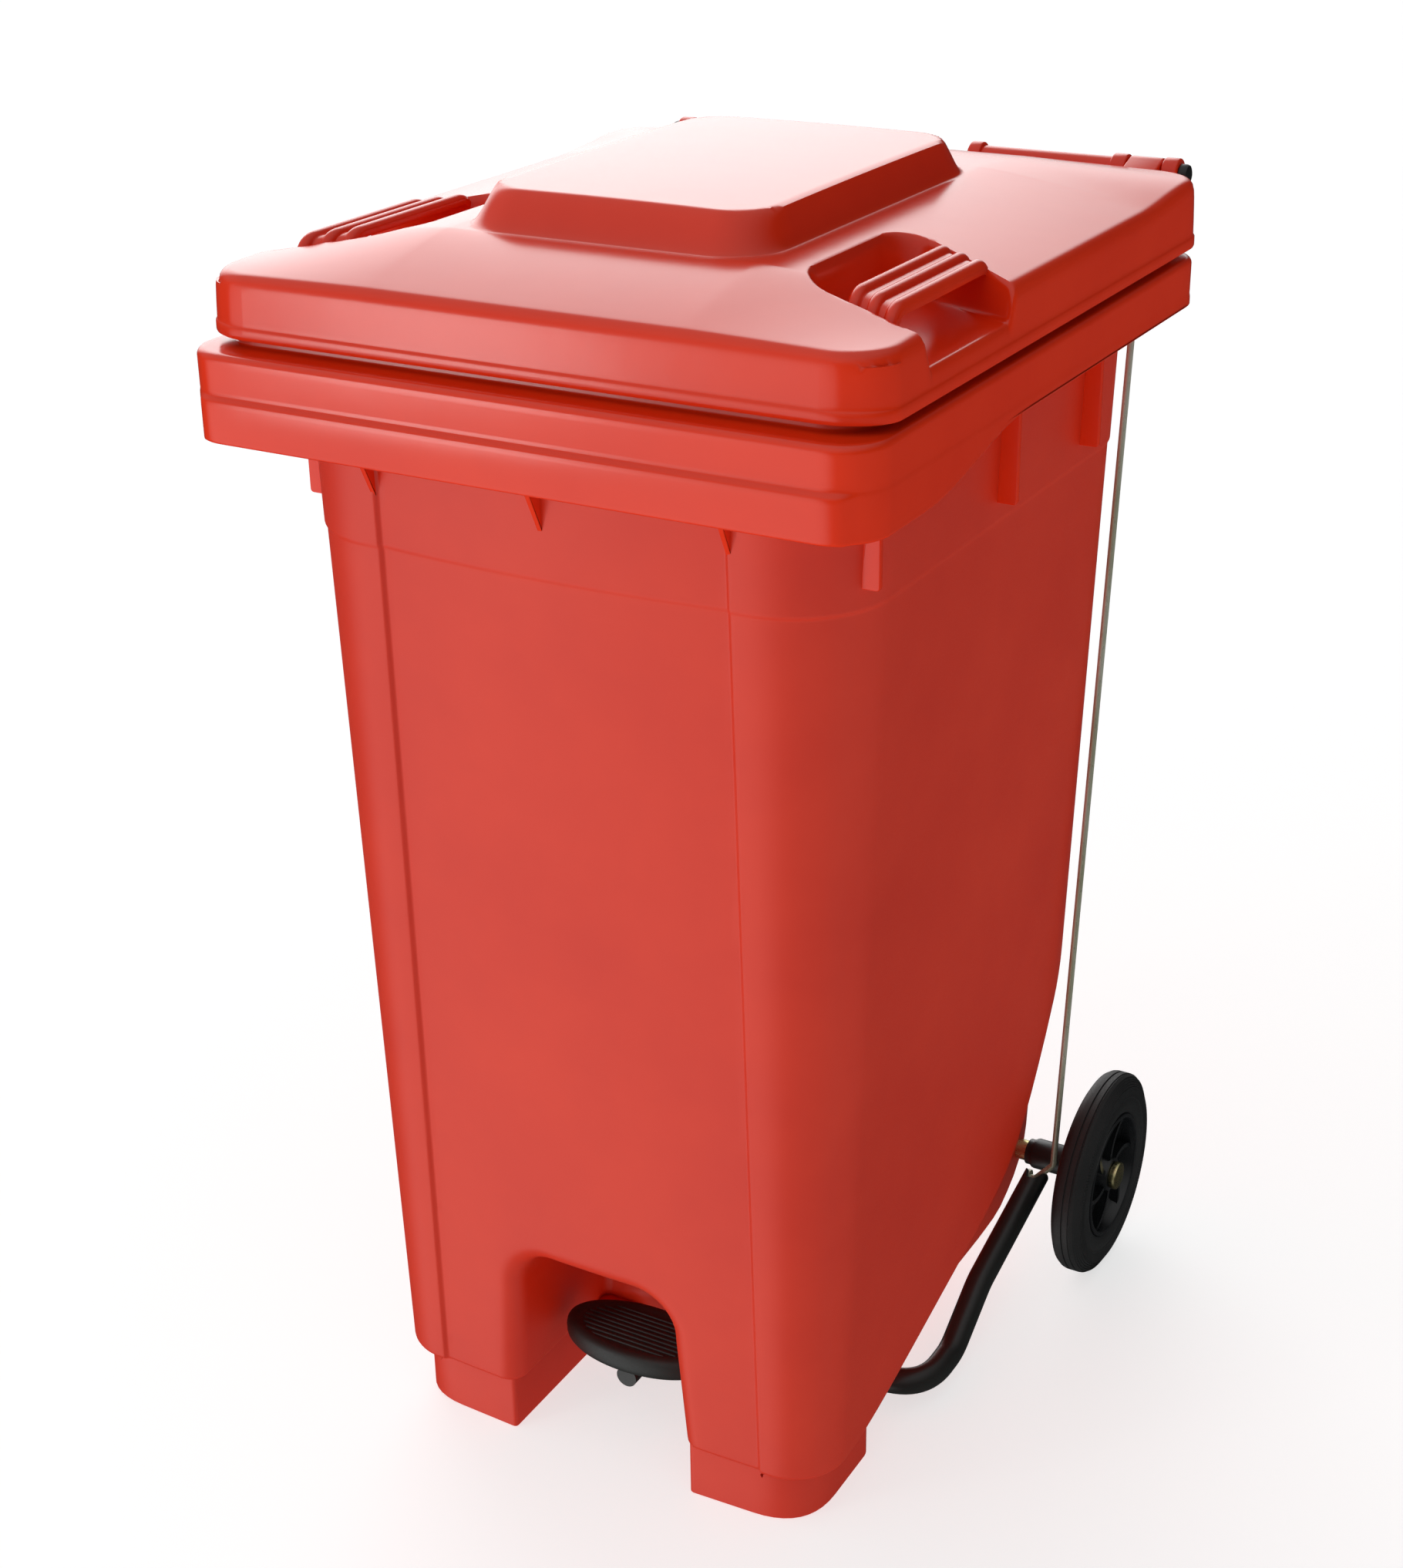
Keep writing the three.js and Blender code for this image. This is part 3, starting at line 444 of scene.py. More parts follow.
def pocket_depth(x, y):
    """How far down the grip pocket is, 0 to 1: an eased wall 13 mm wide inside its rounded outline."""
    side = np.abs(x)
    to_inner = side - POCKET_INNER
    to_edge = np.minimum(y - pocket_front(side), pocket_rear(side) - y)
    over_inner, over_edge = POCKET_ROUND - to_inner, POCKET_ROUND - to_edge
    corner = np.hypot(np.maximum(over_inner, 0), np.maximum(over_edge, 0))
    inside = POCKET_ROUND - corner - np.minimum(np.maximum(over_inner, over_edge), 0)
    return ease(inside / 13)


def lid_height(x, y):
    """The lid's top: a crown rising from a round rim, a raised middle with sloped sides, and two pockets."""
    from_side = np.clip((LID_HALF - np.abs(x)) / 156, 0, 1)
    from_end = np.clip(np.where(y < 0, (y - LID_FRONT) / 120, (LID_REAR - y) / 139), 0, 1)
    crown = LID_RIM + (CROWN - LID_RIM) * (1 - (1 - from_side) ** 1.35) * (1 - (1 - from_end) ** 1.35)
    crown = crown + 8 * ease((y - 190) / 110)
    foot = np.maximum(inside_rounded(x, y, 133.5, -189.5, 197, 46), 0)
    brow = np.maximum(-inside_rounded(x, y, 120, -162, 176, 36), 0)
    rise = foot / np.maximum(foot + brow, 1e-6)
    rise = 0.35 * rise + 0.65 * ease(rise)
    middle = DOME_TOP - 1.2 * (np.hypot(x / 120, (y - 7) / 170)) ** 2
    top = between(crown, middle, rise)
    depth = pocket_depth(x, y)
    top = between(top, POCKET_FLOOR + 0.02 * (LID_HALF - np.abs(x)), depth)
    edge = np.clip(inside_rounded(x, y, LID_HALF - 3, LID_FRONT + 3, LID_REAR - 3, LID_CORNER - 3), 0, None)
    bend = 9 - 5 * depth
    return top - (bend - np.sqrt(np.maximum(bend ** 2 - np.maximum(bend - edge, 0) ** 2, 0)))


def lid_half_width(y):
    """Half width of the lid's plan at a depth y: full, then following the corner's circle."""
    into = np.maximum(np.abs(y - (LID_FRONT + LID_REAR) / 2) - ((LID_REAR - LID_FRONT) / 2 - LID_CORNER), 0)
    radius = LID_CORNER - 3
    return LID_HALF - 3 - radius + np.sqrt(np.maximum(radius ** 2 - np.minimum(into, radius) ** 2, 0))


def lid_top_grid():
    """Rows follow the pockets' slanted edges where they pass, and columns crowd at each step in height."""
    share = spread((0, 0), (121, 30), (134, 10), (162, 10), (182, 14), (262, 30), (285, 16)) / 285
    share = np.concatenate([-share[::-1], share[1:]])
    stops = [(-305, 0), (-296, 8), (-262, 12), (-205, 16), (-188, 14), (-160, 20), (-60, 34), (-24, 22),
             (170, 50), (200, 14), (290, 24), (321, 10), (331, 8)]
    rows = spread(*stops)
    x = share[None, :] * lid_half_width(rows)[:, None]
    side = np.maximum(np.abs(x), 170)
    near_front = np.interp(rows, (-300, -205, -190, -130), (0, 1, 1, 0))[:, None]
    near_rear = np.interp(rows, (-130, -62, -20, 160), (0, 1, 1, 0))[:, None]
    shift = near_front * (pocket_front(side) + 203) * 0.85 + near_rear * (pocket_rear(side) + 24)
    y = rows[:, None] + ease((np.abs(x) - 150) / 40) * shift
    return np.stack([x, y, lid_height(x, y)], -1)


def rim_of(grid):
    """The grid's outer edge as one loop, anticlockwise from its first corner."""
    return np.concatenate([grid[0, :-1], grid[:-1, -1], grid[-1, :0:-1], grid[:0:-1, 0]])


def lid_skirt(top):
    """The skirt hangs from the top's edge: it widens downwards, with a lip 9 mm tall along its lower edge."""
    rim = rim_of(top)
    centre = np.array([0.0, (LID_FRONT + LID_REAR) / 2, 0.0])
    core = centre + np.clip(rim - centre, (-239, -272, 0), (239, 272, 0))
    out = (rim - core)[:, :2]
    out = np.concatenate([out / np.linalg.norm(out, axis=1)[:, None], np.zeros((len(rim), 1))], 1)
    drop = np.array([0.0, 0.12, 0.3, 0.5, 0.7, 0.78, 0.8, 0.82, 0.9, 0.97, 1.0, 1.0, 1.0])
    flare = np.array([0.0, 0.5, 0.9, 1.3, 1.6, 1.7, 2.2, 2.9, 3.0, 3.0, 2.4, 1.4, 0.2])
    levels = np.where(drop[:, None] < 0.78, between(rim[:, 2], LID_UNDER + 10, drop[:, None] / 0.78),
                      between(LID_UNDER + 10, LID_UNDER, (drop[:, None] - 0.78) / 0.22))
    levels[0] = rim[:, 2]
    grid = rim[None] + out[None] * flare[:, None, None]
    grid[:, :, 2] = levels
    return grid


def make_lid():
    """The hood: its top as one height field, its skirt hung from the rim, then a wall's thickness."""
    top = lid_top_grid()
    skirt = lid_skirt(top)
    lid = surface("lid_shell", (top, {}), (skirt, {"around": True, "flip": True}), closed=False)
    thicken(lid, LID_THICKNESS)
    return fit(lid, "lid", RED, "red_moulding", "lid")


def make_grip(side):
    """Finger bridge: a plate's section with three beads, carried up one leg, along the top and down."""
    across = np.linspace(210.2, 255.8, 64)
    nearest = np.min(np.abs(across[:, None] - np.array([216, 233, 250])), axis=1)
    bead = np.sqrt(np.maximum(5.6 ** 2 - nearest ** 2, 0))
    crest = np.maximum(bead, 1.6)
    section = np.concatenate([np.stack([across, crest], 1), np.stack([across[::-1], np.full(64, -3.4)], 1)])
    spine = bent([(0, -213, 1014), (0, -209, 1058, 15), (0, -54, 1058, 15), (0, -48, 1016)], 14)
    along = np.gradient(spine, axis=0)
    along /= np.linalg.norm(along, axis=1)[:, None]
    up = np.stack([np.zeros(len(spine)), -along[:, 2], along[:, 1]], 1)
    grid = spine[:, None] + up[:, None] * section[None, :, 1:]
    x = section[None, :, 0] + np.zeros((len(spine), 1))
    grid[:, :, 0] = x
    grid[:, :, 1] -= 0.37 * (x - 233)
    grid[:, :, 2] -= 0.13 * (x - 233) * ease((grid[:, :, 2] - 1015) / 40)
    grip = surface(f"{hand(side)}_lid_grip", (on_side(grid, side), CAPPED), sharp=50)
    return fit(grip, "lid", RED, "red_moulding", "lid")


def make_knuckle(side):
    """Hinge barrel on the lid's back edge: a round end and an arm, as one outline carried along the hinge."""
    barrel = [(HINGE_Y + 13 * math.cos(a), HINGE_Z + 13 * math.sin(a)) for a in np.linspace(-1.9, 2.0, 26)]
    arm = [(LID_REAR + 2, HINGE_Z + 4), (LID_REAR - 8, HINGE_Z - 2), (LID_REAR - 7, HINGE_Z - 22),
           (LID_REAR + 4, HINGE_Z - 18)]
    grid = slab(np.array(barrel + arm), 202.0, 233.0, 2.0, 0)
    knuckle = surface(f"{hand(side)}_lid_knuckle", (on_side(grid, side), CAPPED))
    return fit(knuckle, "lid", RED, "red_moulding", "lid")


# ---- the bin ----

COLLAR_HALF, COLLAR_FRONT, COLLAR_REAR, COLLAR_ROUND = 290.0, -330.0, 320.0, 38
WALL_TOP, FLOOR, WALL_THICKNESS = 989.0, 51.0, 4.6
BLOCK_HALF = 186.0
ARCH_TOP = 300.0
NOTCH_BACK = -100.0


def wall_sizes(z):
    """The tapered wall's sizes at a height: each grows evenly with z, and a ledge adds 1.3 near the top."""
    rise = np.asarray(z, float) - 51
    ledge = 1.3 * ease((np.asarray(z, float) - 838) / 5)
    return {
        "half": 219.5 + 0.0308 * rise + ledge,
        "front": -252.5 - 0.0273 * rise - ledge,
        "rear": 267.5 + 0.0145 * rise + ledge,
        "corner": 50 + 0.0365 * rise,
        "panel": 161.5 - 0.0104 * rise,
        "bow": 6 + 0.0035 * rise,
    }


def front_face(x, z):
    """Front of the wall: the panel lies 3.4 mm back between two columns and bows forwards at its middle."""
    size = wall_sizes(z)
    share = np.clip(np.abs(x) / size["panel"], 0, 1)
    set_back = 3.4 * ease((size["panel"] + 2.2 - np.abs(x)) / 4.4)
    return size["front"] + set_back - size["bow"] * (1 - share ** 2)


PANEL_SHARES = spread((0, 0), (0.94, 44))
COLUMN_STEPS = spread((-3, 0), (3, 12))


def perimeter(z):
    """The wall's outline at heights z (rows), its columns from the front's middle by the right to the back."""
    z = np.atleast_1d(z)[:, None]
    size = wall_sizes(z)
    corner, back_corner = size["corner"], 55.0
    panel_x = PANEL_SHARES[None] * size["panel"]
    step_x = size["panel"] + COLUMN_STEPS[None]
    column_x = between(size["panel"] + 3, size["half"] - corner, np.linspace(0, 1, 4)[None, 1:])
    front_x = np.concatenate([panel_x, step_x, column_x], 1)
    front = np.stack([front_x, front_face(front_x, z)], -1)
    angle = np.linspace(-TURN / 4, 0, 21)[None, 1:]
    turn = np.stack([size["half"] - corner + corner * np.cos(angle),
                     size["front"] + corner + corner * np.sin(angle)], -1)
    along = between(size["front"] + corner, size["rear"] - back_corner, np.linspace(0, 1, 34)[None, 1:])
    side = np.stack([size["half"] + 0 * along, along], -1)
    angle = np.linspace(0, TURN / 4, 19)[None, 1:]
    back = np.stack([size["half"] - back_corner + back_corner * np.cos(angle),
                     size["rear"] - back_corner + back_corner * np.sin(angle)], -1)
    rear_x = between(size["half"] - back_corner, BLOCK_HALF, np.linspace(0, 1, 3)[None, 1:])
    rear_x = np.concatenate([rear_x, between(BLOCK_HALF, 0, np.linspace(0, 1, 9)[None]) + 0 * z], 1)
    rear = np.stack([rear_x, size["rear"] + 0 * rear_x], -1)
    flat = np.concatenate([front, turn, side, back, rear], 1)
    return np.concatenate([flat, z[:, :, None] + np.zeros((*flat.shape[:2], 1))], -1)


FIRST_LOWER = len(PANEL_SHARES) - 1
BLOCK_COLUMNS = 9
HEIGHTS = spread((FLOOR, 0), (820, 2), (838, 1), (843, 5), (WALL_TOP, 2))
OUTLINES = perimeter(HEIGHTS)

# Side views, as (y, z): the lower edge of the side wall, and the underside of the middle block.
CHEEK = np.array([(-190, 51), (-150, 58), (-108, 70), (-66, 83), (-23, 97), (15, 109), (52, 121),
                  (86, 132), (118, 146), (140, 161), (158, 182), (180, 219), (200, 260), (218, 302),
                  (232, 342), (249, 388), (258, 420)], float)
BLOCK = np.array([(-190, 51), (90, 51), (160, 51), (192, 53), (214, 58), (224, 65), (243, 77), (256, 92),
                  (264, 106), (268, 130), (269.5, 180), (270.5, 230), (271, 290)], float)
RISE_START = -190.0
BLOCK_REAR, BLOCK_TOP = 271.0, 290.0


def cheek_height(y):
    """Lower edge of the side wall: level at the front, then it climbs over the lever and the wheel."""
    eased = sum(np.interp(y + shift, CHEEK[:, 0], CHEEK[:, 1]) for shift in (-18, -9, 0, 9, 18)) / 5
    return between(eased, 500, ease((np.asarray(y, float) - 252) / 16))


def wall_at(z, first, last):
    """Points of the wall's columns first to last at their own heights, read between the stacked outlines."""
    below = np.clip(np.searchsorted(HEIGHTS, z, side="right") - 1, 0, len(HEIGHTS) - 2)
    share = (z - HEIGHTS[below]) / (HEIGHTS[below + 1] - HEIGHTS[below])
    columns = np.arange(first, last)
    return between(OUTLINES[below, columns], OUTLINES[below + 1, columns], share[..., None])


def hem(edge, radius, side, steps=5):
    """Rows that carry an edge down and inwards round a quarter circle; side says which way is inwards.
    The radius is one number, or one for each point of the edge."""
    radius = np.broadcast_to(radius, len(edge))
    tangent = np.gradient(edge[:, :2], axis=0)
    tangent /= np.maximum(np.linalg.norm(tangent, axis=1), 1e-9)[:, None]
    inward = side * np.stack([-tangent[:, 1], tangent[:, 0]], 1)
    angle = np.linspace(TURN / 4, 0, steps + 1)[:, None]
    flat = edge[None, :, :2] + inward[None] * (radius[None] * (1 - np.cos(angle)))[:, :, None]
    return np.concatenate([flat, (edge[None, :, 2] - radius[None] * np.sin(angle))[:, :, None]], -1)


EDGE_ROUND = 6.0
ARCH_SIDES = 26


def wall_columns(first, last, low):
    """The wall over some of its columns: rows at set heights, held at each column's own lower edge."""
    levels = spread((FLOOR + EDGE_ROUND, 0), (ARCH_TOP, ARCH_SIDES - 1), (820, 14), (837, 2), (844, 7),
                    (WALL_TOP, 8))
    return wall_at(np.maximum(levels[:, None], low[None]), first, last)


def side_wall():
    """The wall beside the arch: front column, corner, side and back corner, with a round lower edge."""
    last = OUTLINES.shape[1] - BLOCK_COLUMNS
    low = cheek_height(OUTLINES[0, FIRST_LOWER:last, 1]) + EDGE_ROUND
    grid = wall_columns(FIRST_LOWER, last, low)
    radius = 0.6 + (EDGE_ROUND - 0.6) * (1 - ease((low - 200) / 90))
    return np.concatenate([hem(grid[0], radius, 1)[:-1], grid])


def underside(edge):
    """The bin from below: level in from the side wall, down the middle block's side, then level inwards.
    A point a share t along the side wall's edge meets the block's outline a share t along its length."""
    front = edge[edge[:, 1] < RISE_START]
    order = np.argsort(front[:, 1])
    level = np.linspace(-246, RISE_START, 8)
    start = np.stack([np.interp(level, front[order, 1], front[order, 0]), level, np.full(8, FLOOR)], 1)
    x, y, z = np.concatenate([start, edge[len(front):]]).T
    share = (y - RISE_START) / (BLOCK_REAR - RISE_START)
    stations = np.concatenate([[0], np.cumsum(np.hypot(*np.diff(BLOCK, axis=0).T))])
    along = np.clip(share, 0, 1) * stations[-1]
    low_y = np.where(share < 0, y, np.interp(along, stations, BLOCK[:, 0]))
    low_z = np.where(share < 0, FLOOR, np.interp(along, stations, BLOCK[:, 1]))
    mouth = np.clip((-232.5 - y) / 20, 0, 1)
    inner = (89 + 20 * (1 - np.sqrt(1 - mouth ** 2))) * (1 - ease((low_y + 104) / 8))
    wide = np.minimum(x, BLOCK_HALF)
    outer = np.stack([x, y, z], 1)
    ledge = np.stack([wide, y, z], 1)
    foot = np.stack([wide - 0.5, low_y, low_z], 1)
    middle = np.stack([inner, low_y, low_z], 1)
    t = np.linspace(0, 1, 7)[:, None, None]
    runs = [between(outer, ledge, t), between(ledge, foot, t)[1:], between(foot, middle, t)[1:]]
    return np.concatenate(runs).transpose(1, 0, 2)


def notch_outline(count_side, count_top):
    """The pedal recess from the front: sides that lean in upwards, round corners and a level top."""
    left = [(-84.3, FLOOR + EDGE_ROUND), (-77.2, 158)]
    turn = [(-41 + 36 * math.cos(a), 164 + 36 * math.sin(a)) for a in np.linspace(TURN / 2, TURN / 4, 12)]
    half = np.array(left + turn + [(0, 200)], float)
    far = np.concatenate([[0], np.cumsum(np.linalg.norm(np.diff(half, axis=0), axis=1))])
    middle = far[1] + 0.5 * (far[-2] - far[1])
    over = np.linspace(middle, far[-1], count_top // 2 + 1)[1:]
    stations = np.concatenate([np.linspace(0, middle, count_side), over])
    curve = np.stack([np.interp(stations, far, half[:, 0]), np.interp(stations, far, half[:, 1])], 1)
    return np.concatenate([curve, (curve * (-1, 1))[-2::-1]])


def arch_patch():
    """The panel round the pedal recess: from the recess's back wall, out along its sides, over a round
    entrance of 20 mm, and then straight out to a frame of two uprights and a level top."""
    shares = np.concatenate([-PANEL_SHARES[::-1], PANEL_SHARES[1:]])
    low = FLOOR + EDGE_ROUND
    z = np.linspace(low, ARCH_TOP, ARCH_SIDES)
    edge = -0.94 * wall_sizes(z)["panel"]
    top_x = shares * wall_sizes(ARCH_TOP)["panel"]
    frame_curve = np.concatenate([
        np.stack([edge, z], 1), np.stack([top_x[1:-1], np.full(len(top_x) - 2, ARCH_TOP)], 1),
        np.stack([-edge[::-1], z[::-1]], 1)])
    inner = notch_outline(ARCH_SIDES, len(top_x) - 1)
    tangent = np.gradient(inner, axis=0)
    tangent /= np.linalg.norm(tangent, axis=1)[:, None]
    outward = np.stack([-tangent[:, 1], tangent[:, 0]], 1)
    rows = []
    for t in (0.0, 0.35, 0.7, 0.9):
        flat = between(np.array([0, low + 40.0]), inner - outward * 8, t)
        flat[[0, -1], 1] = low
        rows.append(np.insert(flat, 1, NOTCH_BACK, axis=1))
    for angle in np.linspace(0, TURN / 4, 6):
        flat = inner - outward * 8 * (1 - math.sin(angle))
        flat[[0, -1], 1] = low
        rows.append(np.insert(flat, 1, NOTCH_BACK - 8 * (1 - math.cos(angle)), axis=1))
    for t in np.linspace(0, 1, 8)[1:]:
        mouth = front_face(inner[:, 0], inner[:, 1]) + 20
        rows.append(np.insert(inner, 1, between(NOTCH_BACK - 8, mouth, t), axis=1))
    for angle in np.linspace(0, TURN / 4, 12)[1:]:
        flat = inner + outward * 20 * (1 - math.cos(angle))
        flat[:, 1] = np.maximum(flat[:, 1], low)
        depth = front_face(flat[:, 0], flat[:, 1]) + 20 * (1 - math.sin(angle))
        rows.append(np.insert(flat, 1, depth, axis=1))
    lip = inner + outward * 20
    for t in spread((0, 0), (0.3, 4), (1, 8))[1:]:
        flat = between(lip, frame_curve, t)
        flat[:, 1] = np.maximum(flat[:, 1], low)
        rows.append(np.insert(flat, 1, front_face(flat[:, 0], flat[:, 1]), axis=1))
    return np.stack(rows)


def make_wall():
    """One welded skin with a thickness: the wall's columns, the arch with its hem, and the underside."""
    last = OUTLINES.shape[1]
    front = wall_columns(0, FIRST_LOWER + 1, np.full(FIRST_LOWER + 1, ARCH_TOP))
    side = side_wall()
    block = wall_columns(last - BLOCK_COLUMNS - 1, last, np.full(BLOCK_COLUMNS + 1, BLOCK_TOP))
    arch = arch_patch()
    right_hem = hem(arch[10:, -1], EDGE_ROUND, 1)
    under = underside(side[0])
    grids = [(arch, {})]
    for grid in (front, side, block, right_hem, under):
        grids += [(grid, {}), (mirrored(grid), {})]
    wall = surface("bin_wall", *grids, closed=False, weld=0.8, sharp=50)
    thicken(wall, WALL_THICKNESS)
    return fit(wall, "bin", RED_SATIN, "red_moulding", "bin_body")


def rounded_outline(half, front, rear, front_round, rear_round, steps=12, run=24):
    """A rounded rectangle's points, anticlockwise from its front left, as many on every side."""
    corners = ((half - front_round, front + front_round, front_round, -1),
               (half - rear_round, rear - rear_round, rear_round, 0),
               (-half + rear_round, rear - rear_round, rear_round, 1),
               (-half + front_round, front + front_round, front_round, 2))
    arcs = []
    for x, y, radius, quarter in corners:
        angle = (quarter + np.linspace(0, 1, steps + 1)) * TURN / 4
        arcs.append(np.stack([x + radius * np.cos(angle), y + radius * np.sin(angle)], 1))
    share = np.linspace(0, 1, run + 1)[1:-1, None]
    pieces = []
    for k, arc in enumerate(arcs):
        pieces += [arc, between(arc[-1], arcs[(k + 1) % 4][0], share)]
    return np.concatenate(pieces)


def collar_bottom(points):
    """Lower edge of the collar's skirt: level along the front, higher along the sides and the back."""
    return 925 + 27 * ease((points[:, 1] + 235) / 170)


def make_collar():
    """The rolled edge: a section carried round the mouth, up the skirt, over the shelf and round the seal."""
    def ring(inset, z, out=0.0):
        """The outer outline set in by some millimetres; out brings the front's broad band forwards."""
        flat = rounded_outline(COLLAR_HALF - inset, COLLAR_FRONT + inset, COLLAR_REAR - inset,
                               COLLAR_ROUND - inset, COLLAR_ROUND - inset)
        z = z(flat) if callable(z) else z
        flat = flat - [0, 1] * (out * ease((276 - np.abs(flat[:, :1])) / 6) * (flat[:, 1:] < -200))
        return np.concatenate([flat, np.broadcast_to(z, len(flat))[:, None]], 1)

    def seal(inset, z):
        """The seal rib's outline, set in by some millimetres."""
        flat = rounded_outline(274 - inset, -300 + inset, 312 - inset, 40 - inset, 36 - inset)
        return np.insert(flat, 2, z, axis=1)

    def mouth(inset, z):
        """The mouth's outline, set in by some millimetres."""
        flat = rounded_outline(248 - inset, -277 + inset, 281 - inset, 84 - inset, 56 - inset)
        return np.insert(flat, 2, z, axis=1)

    def lower(rise):
        """Heights some millimetres above the skirt's lower edge."""
        return lambda flat: collar_bottom(flat) + rise

    rings = [ring(inset, z, out) for inset, z, out in (
        (4, lower(2), 0), (3, lower(0.4), 3.0), (1.2, lower(0), 3.4), (0.3, lower(0.8), 3.4),
        (0, lower(2.5), 3.4), (0, 953.5, 3.4), (0, 957, 3.2), (0.1, 959, 2.4), (0.4, 960.5, 0.6),
        (0.6, 962, 0), (0.5, 965, 0), (0.5, 984, 0))]
    rings += [ring(0.5 + 6 * (1 - math.cos(a)), 987 + 6 * math.sin(a)) for a in np.linspace(0, TURN / 4, 7)]
    rings += [ring(10, 993.1)]
    rings += [seal(inset, z) for inset, z in (
        (-2.5, 993.2), (-0.8, 993.8), (0, 995.5), (0.2, 1001.4), (1, 1002.7), (2, 1003), (3, 1002.7),
        (4, 1001), (4.3, 994.5), (5.5, 993.1))]
    rings += [mouth(inset, z) for inset, z in (
        (-4, 993), (1, 992.6), (3.6, 991), (4.6, 988), (4.6, 984), (1, 984), (-3, 986.5))]
    rings += [seal(4, 988), ring(9, 988), ring(5, 986), ring(4, 982)]
    grid = np.stack(rings)
    grid[4:12, :, 2] = np.maximum(grid[4:12, :, 2], grid[3:4, :, 2] + np.arange(8)[:, None] * 0.6)
    collar = surface("bin_collar", (grid, RING), sharp=60)
    return fit(collar, "bin", RED, "red_moulding", "bin_body")


def make_plates():
    """Stiffening plates under the collar: each outline carried through its thickness, its edges rounded."""
    grids = []
    for x in (-155.0, 0.0, 155.0):
        wall_y = -268 if x else -276
        outline = np.array([(wall_y, 868), (wall_y, 988), (wall_y - 44, 988), (wall_y - 44, 934),
                            (wall_y - 28, 925)], float)
        grids.append(slab(rounded_corners([(*p, 1.5) for p in outline], 3), x - 2.2, x + 2.2, 0.9, 0))
    for y, reach in ((-228.0, 252.0), (-6.0, 262.0), (165.0, 262.0)):
        outline = rounded_corners([(236, 858, 1), (reach, 858, 3), (reach, 988, 1), (236, 988, 1)], 3)
        right = slab(outline, y - 2.6, y + 2.6, 0.9, 1)
        grids += [right, mirrored(right)]
    for x in (-115.0, 115.0):
        outline = rounded_corners([(274, 932, 1), (317, 958, 3), (317, 988, 1), (274, 988, 1)], 3)
        grids.append(slab(outline, x - 2.2, x + 2.2, 0.9, 0))
    plates = surface("collar_plates", *[(grid, CAPPED) for grid in grids], weld=0.005)
    return fit(plates, "bin", RED, "red_moulding", "bin_body")


def make_feet():
    """Two moulded feet: a plan outline with one big round corner, carried up to the floor of the bin."""
    outline = rounded_corners([(90, -122, 4), (90, -248, 5), (204, -243, 52), (204, -122, 12)], 10)
    right = slab(outline, 0.3, 58.0, 2.0, 2)
    feet = surface("bin_feet", (right, CAPPED), (mirrored(right), CAPPED), weld=0.005)
    return fit(feet, "bin", RED_SATIN, "red_moulding", "bin_body")


EAR_SPANS = ((234.0, 248.0), (187.0, 201.0), (52.0, 64.0))
EAR_RADIUS = 14


def make_hinge_ears(side):
    """Three ears and the handle bar between two of them, each ear an outline carried along the hinge."""
    round_end = [(HINGE_Y + EAR_RADIUS * math.cos(a), HINGE_Z + EAR_RADIUS * math.sin(a))
                 for a in np.linspace(-2.0, 2.7, 36)]
    stem = [(HINGE_Y - 25, HINGE_Z - 48), (HINGE_Y - 30, 990), (314, 989), (314, 958), (HINGE_Y - 16, 962),
            (HINGE_Y - 7, 995)]
    outline = np.array(round_end + [(HINGE_Y - 22, HINGE_Z - 22)] + stem)
    grids = [(slab(outline, start, end, 1.6, 0), CAPPED) for start, end in EAR_SPANS]
    handle = [(0.01, 63), (10.8, 63), (11, 66), (11, 184), (10.8, 188), (0.01, 188)]
    grids.append((turned(handle, HINGE_Y, HINGE_Z, 48), AROUND))
    grids = [(on_side(grid, side), how) for grid, how in grids]
    ears = surface(f"{hand(side)}_hinge_ears", *grids, weld=0.005)
    return fit(ears, "bin", RED, "red_moulding", "bin_body")


# ---- wheels, axle and hinge pins ----

def make_tyre(side):
    """Solid tyre: a profile turned about the axle; ribs run round its shoulder, and inside them every second
    point of a ring is set back, which leaves fine teeth."""
    tread = [(99.4, 263.5), (100, 266), (100, 270), (98.7, 270.4), (98.7, 271.4), (100, 271.8), (100, 276.5),
             (98.9, 277), (98.9, 277.8), (99.7, 278.3)]
    ribs = []
    for k in range(5):
        radius, x = 98.2 - 2.1 * k, 280.6 + 1.15 * k
        ribs += [(radius, x), (radius - 0.5, x + 0.75), (radius - 1.3, x + 0.15)]
    teeth = [(88.2, 286.3), (87.4, 286.5), (85, 286.6), (82, 286.6), (79.4, 286.4), (78.4, 286.1)]
    bead = [(76.5, 285.4), (74.5, 286.2), (71, 286.8), (67, 286.4), (64, 285.2), (62.2, 284)]
    inside = [(62.2, 259), (66, 257.2), (72, 256.4), (84, 256), (92, 257.4), (97, 260)]
    profile = np.array(inside + tread + ribs + teeth + bead)
    grid = turned(profile, sides=360)
    first = len(inside + tread + ribs)
    grid[first + 1:first + 5, ::2, 0] -= 0.9
    tyre = surface(f"{hand(side)}_tyre_shell", (on_side(grid, side), RING), sharp=32)
    return fit(tyre, f"{hand(side)}_wheel", TYRE, "tyre_rubber", f"{hand(side)}_tyre")


